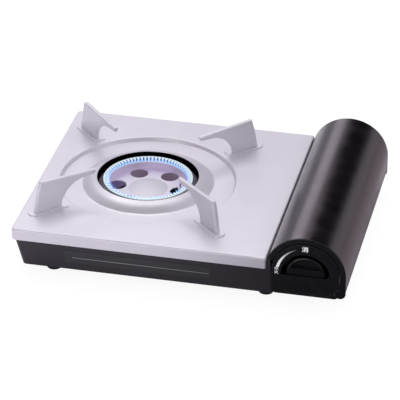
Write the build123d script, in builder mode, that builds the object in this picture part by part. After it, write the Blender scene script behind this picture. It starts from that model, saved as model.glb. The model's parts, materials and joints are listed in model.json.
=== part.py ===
from build123d import *

import os
from math import asin, atan2, cos, degrees, radians, sin, sqrt, tan

# Tabletop butane stove for one cartridge. Millimetres, +Z up.
# +X points to the cartridge bay, +Y to the back, and the table is z = 0.
# The origin lies on the table, under the middle of the stove's width and depth.

os.makedirs("parts", exist_ok=True)

# ---------------------------------------------------------------------------
# Driving dimensions
# ---------------------------------------------------------------------------

# Top plate
plate_width = 261.9
plate_depth = 264.0
deck_height = 52.0
rim_height = 12.0
plate_sheet = 0.8
plate_corner = 5.0
plate_edge = 1.6
seam_corner = 2.2
seam_gap = 1.15
seam_rim_height = 3.6

# Dish and collar pressed into the plate round the burner
burner_from_left = 110.5
burner_from_front = 131.0
dish_radius = 92.1
dish_depth = 4.0
dish_wall_run = 1.8
collar_foot_radius = 68.0
collar_shoulder_radius = 61.0
collar_shoulder_rise = 5.4
collar_rise = 8.3
collar_hole_radius = 53.1
dish_bend = 1.2
collar_foot_bend = 4.0
collar_crown_bend = 20.0

# Raised pads that carry the pan supports
pad_inner_radius = 98.0
pad_outer_radius = 141.5
pad_width = 13.0
pad_rise = 1.2
pad_corner = 1.6
pad_edge = 0.72

# Pan supports, folded from sheet
support_top_height = 83.6
support_top_rise = 2.8
support_thickness = 4.8
support_wall = 1.0
support_tip_radius = 62.8
support_tip_depth = 4.6
support_tip_rake = 1.2
support_blade_depth = 5.6
support_arch_radius = 28.8
support_foot_inner_radius = 104.2
support_foot_outer_radius = 135.0
support_top_outer_radius = 127.6
support_edge_bow = 0.8
support_corner_radius = 1.8
support_edge_radius = 1.5
support_foot_lip = 1.25
support_arch_start = 90.0
lug_length = 8.0
lug_drop = 4.0
lug_from_inner_end = 9.0
lug_from_outer_end = 7.3
lug_clearance = 0.3

# Feet
foot_height = 9.5
foot_radius = 8.2
foot_taper = 0.7
foot_from_left = 38.0
foot_from_bay = 8.4
foot_from_edge = 23.4
foot_stem_radius = 2.5
foot_stem_length = 3.2
foot_recess_radius = 3.2
foot_recess_depth = 3.5

# Lower case, a tray drawn in towards its floor
case_sheet = 0.8
case_inset_bottom = 6.0
case_inset_top = 1.5
case_left_inset_bottom = 9.0
case_left_inset_top = 3.0
case_corner_bottom = 5.0
case_corner_top = 4.0
case_wall_overlap = 7.5
ledge_width = 8.4
vent_count = 6
vent_length = 26.0
vent_width = 4.0
vent_pitch = 11.0
vent_x = -60.0

# Bare strip on the front wall
strip_length = 150.0
strip_width = 15.2
strip_thickness = 0.25
strip_corner = 1.5
strip_from_left = 55.0
strip_height = 25.5

# Posts under the plate and their screws
post_radius = 4.0
post_from_left = 27.0
post_from_seam = 61.4
post_from_edge = 16.0
screw_radius = 1.75
screw_head_radius = 3.6
screw_head_height = 2.2
screw_length = 9.0
screw_fit = 0.05
screw_head_round = 1.0
screw_cross_length = 4.3
screw_cross_width = 1.1
small_head_radius = 2.9
small_head_height = 1.8
small_head_round = 0.8
small_cross_length = 3.5
small_cross_width = 0.9

# Cartridge, a nozzle-type can as long as the bay behind the regulator allows
can_seam_radius = 33.8
can_radius = 33.0
can_wall = 0.5
can_seam_length = 3.2
can_bottom_recess = 5.0
can_rim_width = 1.5
can_bottom_draft = 1.0
can_dome_length = 13.0
can_bulge_length = 8.84
can_bulge_radius = 27.75
can_collar_radius = 16.5
can_collar_length = 3.0
can_collar_notch_width = 6.0
can_collar_notch_depth = 4.0
can_collar_rim = 2.0
can_collar_draft = 1.0
can_valve_recess = 2.0
can_boss_radius = 7.0
can_boss_rise = 1.0
can_boss_taper = 1.6
can_stem_radius = 2.0
can_stem_length = 6.0
can_tail_room = 23.8

# Cradle under the cartridge and the bay tray
cradle_sheet = 0.8
cradle_clearance = 0.5
cradle_table_gap = 5.9
cradle_half_angle = 45.0
cradle_nose = 7.7
cradle_tail = 10.1
cradle_foot_width = 5.0
bay_sheet = 0.8
bay_opening_gap = 0.5
bay_wall_height = 6.5
bay_to_hinge = 7.6

# Cover over the cartridge
cover_sheet = 0.8
cover_headroom = 2.3
cover_drop = 4.0
cover_edge_angle = 159.5
cover_skirt_height = 21.5
cover_end_inset = 1.9
cover_end_thickness = 1.6
bezel_width = 6.0
end_edge = 0.7
spigot_length = 5.0
spigot_wall = 1.6
spigot_fit = 0.05
bumper_thickness = 3.0
bumper_length = 12.0
bumper_height = 6.0
bumper_gap = 0.3
bumper_spacing = 160.0

# Hinge of the cover
hinge_inset = 5.6
hinge_height = 19.3
hinge_rod_radius = 2.0
hinge_fit = 0.05
hinge_lug_radius = 4.0
hinge_lug_thickness = 2.0
hinge_lug_inset = 14.1
hinge_flange_length = 14.0
hinge_flange_sheet = 1.2
hinge_boss_radius = 4.6
hinge_boss_length = 6.1
hinge_rod_end_gap = 1.3
hinge_bore_spare = 0.3
notch_clearance = 0.5

# Control panel at the front end of the bay
panel_gap = 0.7
panel_side_gap = 0.5
panel_wall = 2.0
cup_inset = 1.0  # how far the knob's cup stays inside the panel's outline
panel_depth = 11.5
panel_bottom = 12.7
panel_corner = 5.0
panel_inner_corner = 3.0
border_corner = 14.0
panel_border = 2.1
panel_recess = 0.6
panel_mask = 1.1
panel_boss_radius = 3.5
panel_boss_x = 16.0
panel_boss_top = 23.0
panel_boss_bottom = 18.0
window_radius = 25.0
window_ledge_drop = 1.2
knob_pocket_gap = 0.8
knob_pocket_floor = 2.0

# Control knob
knob_radius = 20.0
knob_drop = 1.5
knob_mask_gap = 0.6
knob_depth = 10.6
knob_floor_gap = 0.6
knob_rim_width = 3.0
knob_edge = 2.4
knob_dish = 3.6
knob_grip_width = 13.0
knob_groove_count = 40
knob_groove_radius = 0.6
spindle_radius = 3.0
spindle_fit = 0.03
spindle_clearance = 0.2
spindle_into_knob = 7.0
spindle_into_regulator = 8.0

# Cam on the spindle and the igniter that it presses
cam_gap = 1.2
cam_thickness = 4.0
cam_high_radius = 12.0
cam_fall_per_radian = 2.923
cam_start = 172.0
cam_sweep = 118.0
cam_step = 12.0
cam_steps = 8
igniter_length = 34.0
igniter_width = 12.0
igniter_height = 13.0
igniter_corner = 1.0
igniter_into_bay = 7.2
igniter_wall_clearance = 0.3
igniter_flange_side = 2.5
igniter_flange_rim = 4.0
igniter_flange_thickness = 1.5
igniter_flange_corner = 2.0
plunger_radius = 2.4
plunger_fit = 0.08
plunger_tip_gap = 0.4
plunger_angle = 180.0
plunger_inside = 9.0
plunger_bore_spare = 3.0

# Regulator
bracket_sheet = 1.2
bracket_half_width = 20.0
bracket_to_cam = 0.6
bracket_top = 25.0
bracket_foot = 12.0
bracket_corner = 6.0
regulator_radius = 19.5
regulator_body_length = 13.1
regulator_cap_length = 9.0
regulator_cap_radius = 18.0
regulator_ear_circle = 21.5
regulator_ear_radius = 4.0
regulator_ear_thickness = 4.0
regulator_screw_radius = 1.7
regulator_outlet_radius = 5.0
regulator_outlet_length = 8.0
regulator_outlet_socket = 3.0
regulator_outlet_behind = 8.0
magnet_outer_radius = 19.0
magnet_inner_radius = 10.0
magnet_length = 5.2
magnet_gap = 0.6
seal_radius = 5.0
seal_bore_clearance = 0.4
seal_length = 4.0
seal_seat = 0.5
seal_fit = 0.1
nozzle_socket_radius = 8.0
locator_width = 4.4
locator_thickness = 1.5

# Burner
ring_outer_radius = 46.8
ring_inner_radius = 41.9
ring_bottom = 49.2
ring_height = 4.5
ring_edge = 0.7
port_count = 72
port_width = 1.6
port_depth = 3.3
port_floor = 1.0
gallery_width = 1.8
gallery_height = 1.6
passage_circle = 44.75
passage_radius = 0.8
passage_count = 24
bowl_sheet = 1.0
bowl_radius = 43.2
bowl_depth = 7.9
bowl_hole_count = 6
bowl_hole_radius = 9.5
bowl_hole_circle = 33.0
bowl_boss_radius = 20.7
bowl_boss_rise = 2.8
bowl_rim_bend = 0.8
bowl_floor_bend = 1.5
chamber_outer_radius = 52.0
chamber_bottom = 24.0
chamber_shoulder = 47.0
chamber_wall = 1.6
chamber_fit = 0.2
chamber_lip = 1.0
chamber_lip_inner = 45.8
chamber_lip_outer = 47.4
chamber_wall_top = 45.5
burner_leg_count = 3
burner_leg_angle = 60.0
burner_leg_radius = 57.0
burner_leg_width = 12.0
burner_leg_foot = 8.0
burner_bracket_sheet = 1.2

# Mixing tube, jet and gas pipe
mixer_height = 34.0
mixer_radius = 9.0
mixer_wall = 1.0
mixer_mouth = 138.0
mixer_bell_radius = 12.0
mixer_bell_length = 7.0
jet_gap = 4.0
jet_length = 10.8
jet_tip_length = 4.0
jet_tip_radius = 2.5
jet_tip_chamfer = 0.8
jet_radius = 4.0
jet_bore_radius = 0.9
jet_bracket_half_width = 11.0
jet_bracket_top = 9.0
jet_bracket_foot = 10.0
jet_bracket_behind = 1.5
jet_bracket_corner = 4.0
pipe_radius = 2.5
pipe_wall = 1.0
pipe_bend = 14.0
pipe_last_run = 27.4
pipe_hole_clearance = 1.5

# Strip that carries burner heat to the cartridge
heat_panel_sheet = 1.0
heat_panel_width = 40.0
heat_panel_y = 30.0
heat_panel_start = 2.0
heat_panel_foot = 12.0
heat_panel_reach_start = 19.0
heat_panel_reach_end = 42.0
heat_panel_slot_clearance = 0.5

# Spark electrode and its lead
electrode_x = 33.5
electrode_y = 3.5
electrode_top = 49.5
electrode_bottom = 13.0
electrode_radius = 0.9
electrode_hook = 4.0
electrode_bend = 1.8
insulator_radius = 2.6
insulator_edge = 0.87
insulator_top = 44.0
insulator_flange_radius = 4.4
insulator_flange_height = 3.0
electrode_fit = 0.05
electrode_bracket_sheet = 1.0
boot_size = 7.0
boot_corner = 1.0
boot_height = 6.0
lead_radius = 1.25
lead_height = 15.0
lead_first_run = 16.0
lead_slope_from_igniter = (-28.6, 7.4)
lead_slope_height = 22.0
lead_far_turn = (80.5, -79.0)
lead_near_turn = (46.5, -51.0)
lead_last_run = 21.0
clip_width = 6.0
clip_length = 5.0
clip_corner = 1.0
clip_above_lead = 2.0

# ---------------------------------------------------------------------------
# Places that follow from the sizes above
# ---------------------------------------------------------------------------

floor_bottom = foot_height
floor_top = floor_bottom + case_sheet
deck_under = deck_height - plate_sheet
rim_bottom = deck_height - rim_height
case_top = rim_bottom + case_wall_overlap

cartridge_z = cradle_table_gap + cradle_sheet + cradle_clearance + can_seam_radius
cover_radius = can_seam_radius + cover_drop + cover_headroom + cover_sheet
cover_z = cartridge_z - cover_drop
seam_half_chord = sqrt(cover_radius**2 - (deck_height - cover_z) ** 2)
overall_width = plate_width + seam_gap + seam_half_chord + cover_radius
plate_left = -overall_width / 2
plate_right = plate_left + plate_width
plate_front = -plate_depth / 2
cover_x = plate_right + seam_gap + seam_half_chord
cover_right = cover_x + cover_radius
cover_inner_radius = cover_radius - cover_sheet

panel_radius = cover_radius - bezel_width - panel_gap
case_right = cover_x - panel_radius - panel_side_gap
hinge_x = cover_right - hinge_inset
hinge_z = hinge_height
bay_right = hinge_x - bay_to_hinge

burner_x = plate_left + burner_from_left
burner_y = plate_front + burner_from_front
dish_floor = deck_height - dish_depth
pad_top = deck_height + pad_rise

knob_z = cover_z - knob_drop
cover_end = plate_depth / 2 - cover_end_inset
shell_end = cover_end - cover_end_thickness
panel_front = -cover_end
panel_back = panel_front + panel_depth
bay_front = panel_back + panel_side_gap
bay_back = shell_end
panel_face = panel_front + panel_recess
mask_back = panel_face + panel_mask
knob_front = mask_back + knob_mask_gap
knob_back = knob_front + knob_depth
pocket_floor = knob_back + knob_floor_gap
pocket_back = pocket_floor + knob_pocket_floor
pocket_radius = knob_radius + knob_pocket_gap
cam_front = pocket_back + cam_gap
cam_back = cam_front + cam_thickness
bracket_front = cam_back + bracket_to_cam
bracket_back = bracket_front + bracket_sheet
regulator_middle = bracket_back + regulator_body_length
regulator_back = regulator_middle + regulator_cap_length
magnet_back = regulator_back + magnet_length
can_front = magnet_back + magnet_gap
can_back = cover_end - can_tail_room
cradle_front = can_front + cradle_nose
cradle_back = cover_end - cradle_tail
outlet_tip = cover_x - regulator_radius - regulator_outlet_length
pipe_y = bracket_back + regulator_outlet_behind
pipe_turn_x = outlet_tip + regulator_outlet_socket - pipe_last_run
mixer_angle = degrees(atan2(pipe_y - burner_y, pipe_turn_x - burner_x))
igniter_y = (cam_front + cam_back) / 2
heat_panel_middle = can_seam_radius + cradle_clearance + heat_panel_sheet / 2
heat_panel_z = cartridge_z - heat_panel_middle * sin(radians(heat_panel_reach_start))

burner_section = Plane(origin=(burner_x, burner_y, 0), x_dir=(1, 0, 0), z_dir=(0, -1, 0))
burner_axis = Axis((burner_x, burner_y, 0), (0, 0, 1))
cartridge_section = Plane(origin=(cover_x, 0, cartridge_z), x_dir=(0, 1, 0), z_dir=(1, 0, 0))
cartridge_axis = Axis((cover_x, 0, cartridge_z), (0, 1, 0))
cover_centre = (cover_x, cover_z)
knob_centre = (cover_x, knob_z)
hinge_centre = (hinge_x, hinge_z)
cartridge_centre = (cover_x, cartridge_z)

corner_posts = [
    (x, y)
    for x in (plate_left + post_from_left, plate_right - post_from_seam)
    for y in (plate_front + post_from_edge, -plate_front - post_from_edge)
]
foot_places = {
    "foot_front_left": (plate_left + foot_from_left, plate_front + foot_from_edge),
    "foot_back_left": (plate_left + foot_from_left, -plate_front - foot_from_edge),
    "foot_front_right": (case_right - foot_from_bay, plate_front + foot_from_edge),
    "foot_back_right": (case_right - foot_from_bay, -plate_front - foot_from_edge),
}
support_angles = {
    "pan_support_back_right": 45,
    "pan_support_back_left": 135,
    "pan_support_front_left": 225,
    "pan_support_front_right": 315,
}


def upright_plane(y):
    """XZ plane at depth y; its extrusions go towards the front (-Y)."""
    return Plane.XZ.offset(-y)


def radial_plane(angle):
    """Upright plane through the burner axis; local X runs outwards at the angle."""
    turn = radians(angle)
    return Plane(
        origin=(burner_x, burner_y, 0),
        x_dir=(cos(turn), sin(turn), 0),
        z_dir=(sin(turn), -cos(turn), 0),
    )


def around_burner(radius, angle):
    """Plan position at a radius and angle from the burner axis."""
    return (
        burner_x + radius * cos(radians(angle)),
        burner_y + radius * sin(radians(angle)),
    )


near_lug_radius = support_foot_inner_radius + lug_from_inner_end
far_lug_radius = support_foot_outer_radius - lug_from_outer_end
leg_middle = burner_leg_radius + burner_bracket_sheet / 2
leg_foot_middle = burner_leg_radius + burner_leg_foot / 2
leg_screw_radius = leg_foot_middle + burner_bracket_sheet / 2
leg_screw_places = [
    around_burner(leg_screw_radius, burner_leg_angle + turn * 360 / burner_leg_count)
    for turn in range(burner_leg_count)
]


# ---------------------------------------------------------------------------
# Top plate and pan supports
# ---------------------------------------------------------------------------

def pad_outline(inset):
    """The four pads, square at the inner end and round at the outer end."""
    inner = pad_inner_radius + inset
    round_centre = pad_outer_radius - pad_width / 2
    half_width = pad_width / 2 - inset
    with BuildSketch() as one_pad:
        with Locations(((inner + round_centre) / 2, 0)):
            Rectangle(round_centre - inner, 2 * half_width)
        fillet(one_pad.vertices().group_by(Axis.X)[0], pad_corner)
        with Locations((round_centre, 0)):
            Circle(half_width)
    with BuildSketch() as pads:
        with Locations((burner_x, burner_y)):
            with PolarLocations(0, len(support_angles), start_angle=45):
                add(one_pad.sketch)
    return pads.sketch


with BuildPart() as top_plate:
    with BuildSketch(Plane.XY.offset(rim_bottom)) as plate_outline:
        with Locations(((plate_left + plate_right) / 2, 0)):
            Rectangle(plate_width, plate_depth)
        fillet(plate_outline.vertices().group_by(Axis.X)[0], plate_corner)
        fillet(plate_outline.vertices().group_by(Axis.X)[-1], seam_corner)
    extrude(amount=rim_height)
    fillet(top_plate.faces().sort_by(Axis.Z)[-1].edges(), plate_edge)
    offset(amount=-plate_sheet, openings=top_plate.faces().sort_by(Axis.Z)[0])
    # The rim along the seam is short, so that the case wall passes under it.
    with BuildSketch(Plane.XY.offset(rim_bottom)):
        with Locations((plate_right, 0)):
            Rectangle(4 * plate_sheet, plate_depth - 2 * plate_sheet)
    extrude(amount=rim_height - seam_rim_height, mode=Mode.SUBTRACT)
    # Raised pads under the pan supports.
    with BuildSketch(Plane.XY.offset(deck_under)):
        add(pad_outline(0))
    extrude(amount=plate_sheet + pad_rise)
    fillet(top_plate.faces().filter_by(Plane.XY).group_by(Axis.Z)[-1].edges(), pad_edge)
    with BuildSketch(Plane.XY.offset(deck_under)):
        add(pad_outline(plate_sheet))
    extrude(amount=pad_rise, mode=Mode.SUBTRACT)
    # Dish and collar in place of the flat sheet.
    with BuildSketch(Plane.XY.offset(deck_under)):
        with Locations((burner_x, burner_y)):
            Circle(dish_radius + plate_sheet)
    extrude(amount=plate_sheet, mode=Mode.SUBTRACT)
    with BuildSketch(burner_section):
        with BuildLine():
            middle = plate_sheet / 2
            FilletPolyline(
                (dish_radius + 3 * plate_sheet, deck_height - middle),
                (dish_radius, deck_height - middle),
                (dish_radius - dish_wall_run, dish_floor - middle),
                (collar_foot_radius, dish_floor - middle),
                (collar_shoulder_radius, dish_floor + collar_shoulder_rise - middle),
                (collar_hole_radius, dish_floor + collar_rise - middle),
                radius=[dish_bend, dish_bend, collar_foot_bend, collar_crown_bend],
            )
        trace(line_width=plate_sheet)
    revolve(axis=burner_axis)
    # Slots for the lugs of the pan supports.
    with BuildSketch(Plane.XY.offset(deck_under)):
        with Locations((burner_x, burner_y)):
            for side, radius in ((1, near_lug_radius), (-1, far_lug_radius)):
                with PolarLocations(radius, len(support_angles), start_angle=45):
                    with Locations((0, side * (support_thickness - support_wall) / 2)):
                        Rectangle(lug_length + 2 * lug_clearance, support_wall + 2 * lug_clearance)
    extrude(amount=plate_sheet + pad_rise, mode=Mode.SUBTRACT)
top_plate.part.label = "top_plate"
export_step(top_plate.part, "parts/top_plate.step")

arch_z = support_top_height - support_blade_depth - support_arch_radius
arch_sink = pad_top - arch_z
arch_x = support_foot_inner_radius - sqrt(support_arch_radius**2 - arch_sink**2)
arch_end = degrees(atan2(arch_sink, support_foot_inner_radius - arch_x))

for label, angle in support_angles.items():
    face_normal = radial_plane(angle).z_dir
    with BuildPart() as pan_support:
        with BuildSketch(radial_plane(angle)) as blade:
            with BuildLine():
                foot_outer = (support_foot_outer_radius, pad_top)
                foot_inner = (support_foot_inner_radius, pad_top)
                top_outer = (support_top_outer_radius, support_top_height + support_top_rise)
                edge_middle = (
                    (support_foot_outer_radius + support_top_outer_radius) / 2 + support_edge_bow,
                    (pad_top + top_outer[1]) / 2,
                )
                tip_top = (support_tip_radius, support_top_height)
                tip_under = (
                    support_tip_radius + support_tip_rake,
                    support_top_height - support_tip_depth,
                )
                ThreePointArc(foot_outer, edge_middle, top_outer)
                Polyline(top_outer, tip_top, tip_under, (arch_x, arch_z + support_arch_radius))
                arch_sweep = arch_end - support_arch_start
                CenterArc((arch_x, arch_z), support_arch_radius, support_arch_start, arch_sweep)
                Line(foot_inner, foot_outer)
            make_face()
            fillet(blade.vertices().group_by(Axis.Y)[-1], support_corner_radius)
        extrude(amount=support_thickness / 2, both=True)
        sides = pan_support.faces().sort_by(Axis((burner_x, burner_y, 0), face_normal))
        side_edges = sides[0].edges() + sides[-1].edges()
        fillet(
            side_edges.filter_by(lambda edge: edge.center().Z > pad_top + support_edge_radius),
            support_edge_radius,
        )
        # Hollow inside of the folded sheet, open at the foot.
        with BuildSketch(radial_plane(angle)):
            offset(blade.sketch_local, amount=-support_wall)
            with Locations(((foot_inner[0] + foot_outer[0]) / 2, pad_top + support_wall / 2)):
                foot_length = support_foot_outer_radius - support_foot_inner_radius
                Rectangle(foot_length - 2 * support_foot_lip, 2 * support_wall)
        extrude(amount=support_thickness / 2 - support_wall, both=True, mode=Mode.SUBTRACT)
        # One lug under each side wall, staggered along the foot.
        with BuildSketch(radial_plane(angle).offset(-support_thickness / 2)):
            with Locations((near_lug_radius, pad_top - lug_drop / 2)):
                Rectangle(lug_length, lug_drop)
        extrude(amount=support_wall)
        with BuildSketch(radial_plane(angle).offset(support_thickness / 2)):
            with Locations((far_lug_radius, pad_top - lug_drop / 2)):
                Rectangle(lug_length, lug_drop)
        extrude(amount=-support_wall)
    pan_support.part.label = label
    export_step(pan_support.part, f"parts/{label}.step")

# ---------------------------------------------------------------------------
# Lower case, feet, posts and screws
# ---------------------------------------------------------------------------


def case_outline(left_inset, edge_inset, corner, right):
    """Plan outline of the case inside the plate's outline, square at the bay side."""
    left = plate_left + left_inset
    depth = plate_depth - 2 * edge_inset
    with BuildSketch() as outline:
        with Locations(((left + right) / 2, 0)):
            Rectangle(right - left, depth)
        fillet(outline.vertices().group_by(Axis.X)[0], corner)
    return outline.sketch


def case_block(inset, right):
    """Solid tray shape between floor and top edge, drawn in by the inset."""
    bottom = case_outline(
        case_left_inset_bottom + inset, case_inset_bottom + inset, case_corner_bottom, right
    )
    top = case_outline(case_left_inset_top + inset, case_inset_top + inset, case_corner_top, right)
    with BuildPart() as block:
        with BuildSketch(Plane.XY.offset(floor_bottom)):
            add(bottom)
        with BuildSketch(Plane.XY.offset(rim_bottom)):
            add(top)
        loft(ruled=True)
        with BuildSketch(Plane.XY.offset(rim_bottom)):
            add(top)
        extrude(amount=case_wall_overlap)
    return block.part


wall_lean = degrees(atan2(case_inset_bottom - case_inset_top, rim_bottom - floor_bottom))
igniter_right = case_right + igniter_into_bay
igniter_left = igniter_right - igniter_length
pipe_hole_radius = pipe_radius + pipe_hole_clearance

with BuildPart() as lower_case:
    add(case_block(0, case_right))
    add(case_block(case_sheet, case_right - case_sheet), mode=Mode.SUBTRACT)
    with BuildPart(mode=Mode.PRIVATE) as case_floor:
        add(case_block(0, case_right))
        split(bisect_by=Plane.XY.offset(floor_top), keep=Keep.BOTTOM)
    add(case_floor.part)
    # Ledge along the bay wall, under the edge of the cover.
    ledge_depth = plate_depth - 2 * case_inset_top
    with BuildSketch(Plane.XY.offset(case_top - case_sheet)):
        with Locations((case_right - ledge_width / 2, 0)):
            Rectangle(ledge_width, ledge_depth)
    extrude(amount=case_sheet)
    # Holes in the bay wall for the gas pipe, the igniter and the heat panel.
    with BuildSketch(Plane.YZ.offset(case_right - 2 * case_sheet)):
        with Locations((pipe_y, mixer_height)):
            Circle(pipe_hole_radius)
        with Locations((igniter_y, knob_z)):
            Rectangle(
                igniter_width + 2 * igniter_wall_clearance,
                igniter_height + 2 * igniter_wall_clearance,
            )
        with Locations((heat_panel_y, heat_panel_z)):
            Rectangle(
                heat_panel_width + 2 * heat_panel_slot_clearance,
                heat_panel_sheet + 2 * heat_panel_slot_clearance,
            )
    extrude(amount=3 * case_sheet, mode=Mode.SUBTRACT)
    # Holes in the floor for screws, foot stems and air.
    with BuildSketch(Plane.XY.offset(floor_bottom)):
        with Locations(corner_posts + leg_screw_places):
            Circle(screw_radius + screw_fit)
        with Locations(list(foot_places.values())):
            Circle(foot_stem_radius + screw_fit)
        with Locations((vent_x, 0)):
            with GridLocations(vent_pitch, plate_depth / 2 + vent_length, vent_count, 2):
                SlotOverall(vent_length, vent_width, rotation=90)
    extrude(amount=case_sheet, mode=Mode.SUBTRACT)
lower_case.part.label = "lower_case"
export_step(lower_case.part, "parts/lower_case.step")

for label, (x, y) in foot_places.items():
    with BuildPart() as foot:
        with BuildSketch(Plane(origin=(x, y, 0), x_dir=(1, 0, 0), z_dir=(0, -1, 0))):
            with BuildLine():
                Polyline(
                    (0, foot_recess_depth),
                    (foot_recess_radius, foot_recess_depth),
                    (foot_recess_radius, 0),
                    (foot_radius - foot_taper, 0),
                    (foot_radius, foot_height),
                    (foot_stem_radius, foot_height),
                    (foot_stem_radius, foot_height + foot_stem_length),
                    (0, foot_height + foot_stem_length),
                    close=True,
                )
            make_face()
        revolve(axis=Axis((x, y, 0), (0, 0, 1)))
        fillet(foot.edges().group_by(Axis.Z)[0].sort_by(SortBy.RADIUS)[-1], foot_taper)
    foot.part.label = label
    export_step(foot.part, f"parts/{label}.step")

front_wall = Plane(
    origin=(
        plate_left + strip_from_left + strip_length / 2,
        plate_front + case_inset_bottom - (strip_height - floor_bottom) * tan(radians(wall_lean)),
        strip_height,
    ),
    x_dir=(1, 0, 0),
    z_dir=(0, -cos(radians(wall_lean)), -sin(radians(wall_lean))),
)
with BuildPart() as front_strip:
    with BuildSketch(front_wall):
        RectangleRounded(strip_length, strip_width, strip_corner)
    extrude(amount=strip_thickness)
front_strip.part.label = "front_strip"
export_step(front_strip.part, "parts/front_strip.step")

with BuildPart() as plate_posts:
    with BuildSketch(Plane.XY.offset(floor_top)):
        with Locations(corner_posts):
            Circle(post_radius)
    extrude(amount=deck_under - floor_top)
    with BuildSketch(Plane.XY.offset(floor_top)):
        with Locations(corner_posts):
            Circle(screw_radius + screw_fit)
    extrude(amount=screw_length + screw_radius, mode=Mode.SUBTRACT)
plate_posts.part.label = "plate_posts"
export_step(plate_posts.part, "parts/plate_posts.step")


def pan_screw_heads(plane, places, head):
    """Rounded screw heads on a plane, with a cross recess half as deep as the head."""
    radius, height, rounding, cross_length, cross_width = head
    with BuildPart() as heads:
        with BuildSketch(plane):
            with Locations(places):
                Circle(radius)
        extrude(amount=height)
        tops = heads.faces().sort_by(Axis(plane.origin, plane.z_dir))[-len(places):]
        fillet(tops.edges(), rounding)
        with BuildSketch(plane.offset(height / 2)):
            with Locations(places):
                Rectangle(cross_length, cross_width)
                Rectangle(cross_width, cross_length)
        extrude(amount=height, mode=Mode.SUBTRACT)
    return heads.part


large_head = (
    screw_head_radius,
    screw_head_height,
    screw_head_round,
    screw_cross_length,
    screw_cross_width,
)
small_head = (
    small_head_radius,
    small_head_height,
    small_head_round,
    small_cross_length,
    small_cross_width,
)


with BuildPart() as case_screws:
    under = Plane(origin=(0, 0, floor_bottom), x_dir=(1, 0, 0), z_dir=(0, 0, -1))
    under_places = [(x, -y) for x, y in corner_posts]
    add(pan_screw_heads(under, under_places, large_head))
    with BuildSketch(Plane.XY.offset(floor_bottom)):
        with Locations(corner_posts):
            Circle(screw_radius)
    extrude(amount=screw_length)
case_screws.part.label = "case_screws"
export_step(case_screws.part, "parts/case_screws.step")

# ---------------------------------------------------------------------------
# Bay tray, cradle and hinge
# ---------------------------------------------------------------------------

cradle_inner = can_seam_radius + cradle_clearance
cradle_outer = cradle_inner + cradle_sheet
cradle_half_opening = (
    sqrt(cradle_outer**2 - (cartridge_z - floor_top) ** 2) + bay_opening_gap
)
edge_turn = radians(cover_edge_angle)
edge_point = (cover_x + cover_radius * cos(edge_turn), cover_z + cover_radius * sin(edge_turn))
edge_slope = (edge_point[1] - hinge_z) / (edge_point[0] - hinge_x)


def below_cover_edge(x):
    """Height of the line from the hinge to the edge of the cover."""
    return hinge_z + edge_slope * (x - hinge_x)


with BuildPart() as bay_tray:
    with BuildSketch(Plane.XY.offset(floor_bottom)):
        with Locations(((case_right + bay_right) / 2, (bay_front + bay_back) / 2)):
            Rectangle(bay_right - case_right, bay_back - bay_front)
        with Locations((cover_x, (cradle_front + cradle_back) / 2)):
            Rectangle(
                2 * cradle_half_opening,
                cradle_back - cradle_front + 2 * bay_opening_gap,
                mode=Mode.SUBTRACT,
            )
    extrude(amount=bay_sheet)
    # Low walls along both sides.
    with BuildSketch(Plane.XY.offset(floor_bottom)):
        for wall_x in (case_right + bay_sheet / 2, bay_right - bay_sheet / 2):
            with Locations((wall_x, (bay_front + bay_back) / 2)):
                Rectangle(bay_sheet, bay_back - bay_front)
    extrude(amount=bay_wall_height)
    # Back wall, cut along the sweep of the cover's end cap.
    with BuildSketch(upright_plane(bay_back)):
        with BuildLine():
            Polyline(
                (case_right, floor_bottom),
                (bay_right, floor_bottom),
                (bay_right, below_cover_edge(bay_right) - notch_clearance),
                (case_right, below_cover_edge(case_right) - notch_clearance),
                close=True,
            )
        make_face()
    extrude(amount=bay_sheet)
bay_tray.part.label = "bay_tray"
export_step(bay_tray.part, "parts/bay_tray.step")

with BuildPart() as cartridge_cradle:
    end_turn = radians(cradle_half_angle)
    sheet_middle = (cradle_inner + cradle_outer) / 2
    cradle_end_x = sheet_middle * sin(end_turn)
    cradle_end_z = cartridge_z - sheet_middle * cos(end_turn)
    foot_z = floor_top + cradle_sheet / 2
    with BuildSketch(upright_plane(cradle_back)):
        with BuildLine():
            CenterArc(cartridge_centre, sheet_middle, 270 - cradle_half_angle, 2 * cradle_half_angle)
            for side in (-1, 1):
                Polyline(
                    (cover_x + side * cradle_end_x, cradle_end_z),
                    (cover_x + side * cradle_end_x, foot_z),
                    (cover_x + side * (cradle_end_x - cradle_foot_width), foot_z),
                )
        trace(line_width=cradle_sheet)
    extrude(amount=cradle_back - cradle_front)
cartridge_cradle.part.label = "cartridge_cradle"
export_step(cartridge_cradle.part, "parts/cartridge_cradle.step")

with BuildPart() as hinge_rod:
    rod_front = -cover_end + hinge_rod_end_gap
    with BuildSketch(upright_plane(-rod_front)):
        with Locations(hinge_centre):
            Circle(hinge_rod_radius)
    extrude(amount=-2 * rod_front)
hinge_rod.part.label = "hinge_rod"
export_step(hinge_rod.part, "parts/hinge_rod.step")

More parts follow.
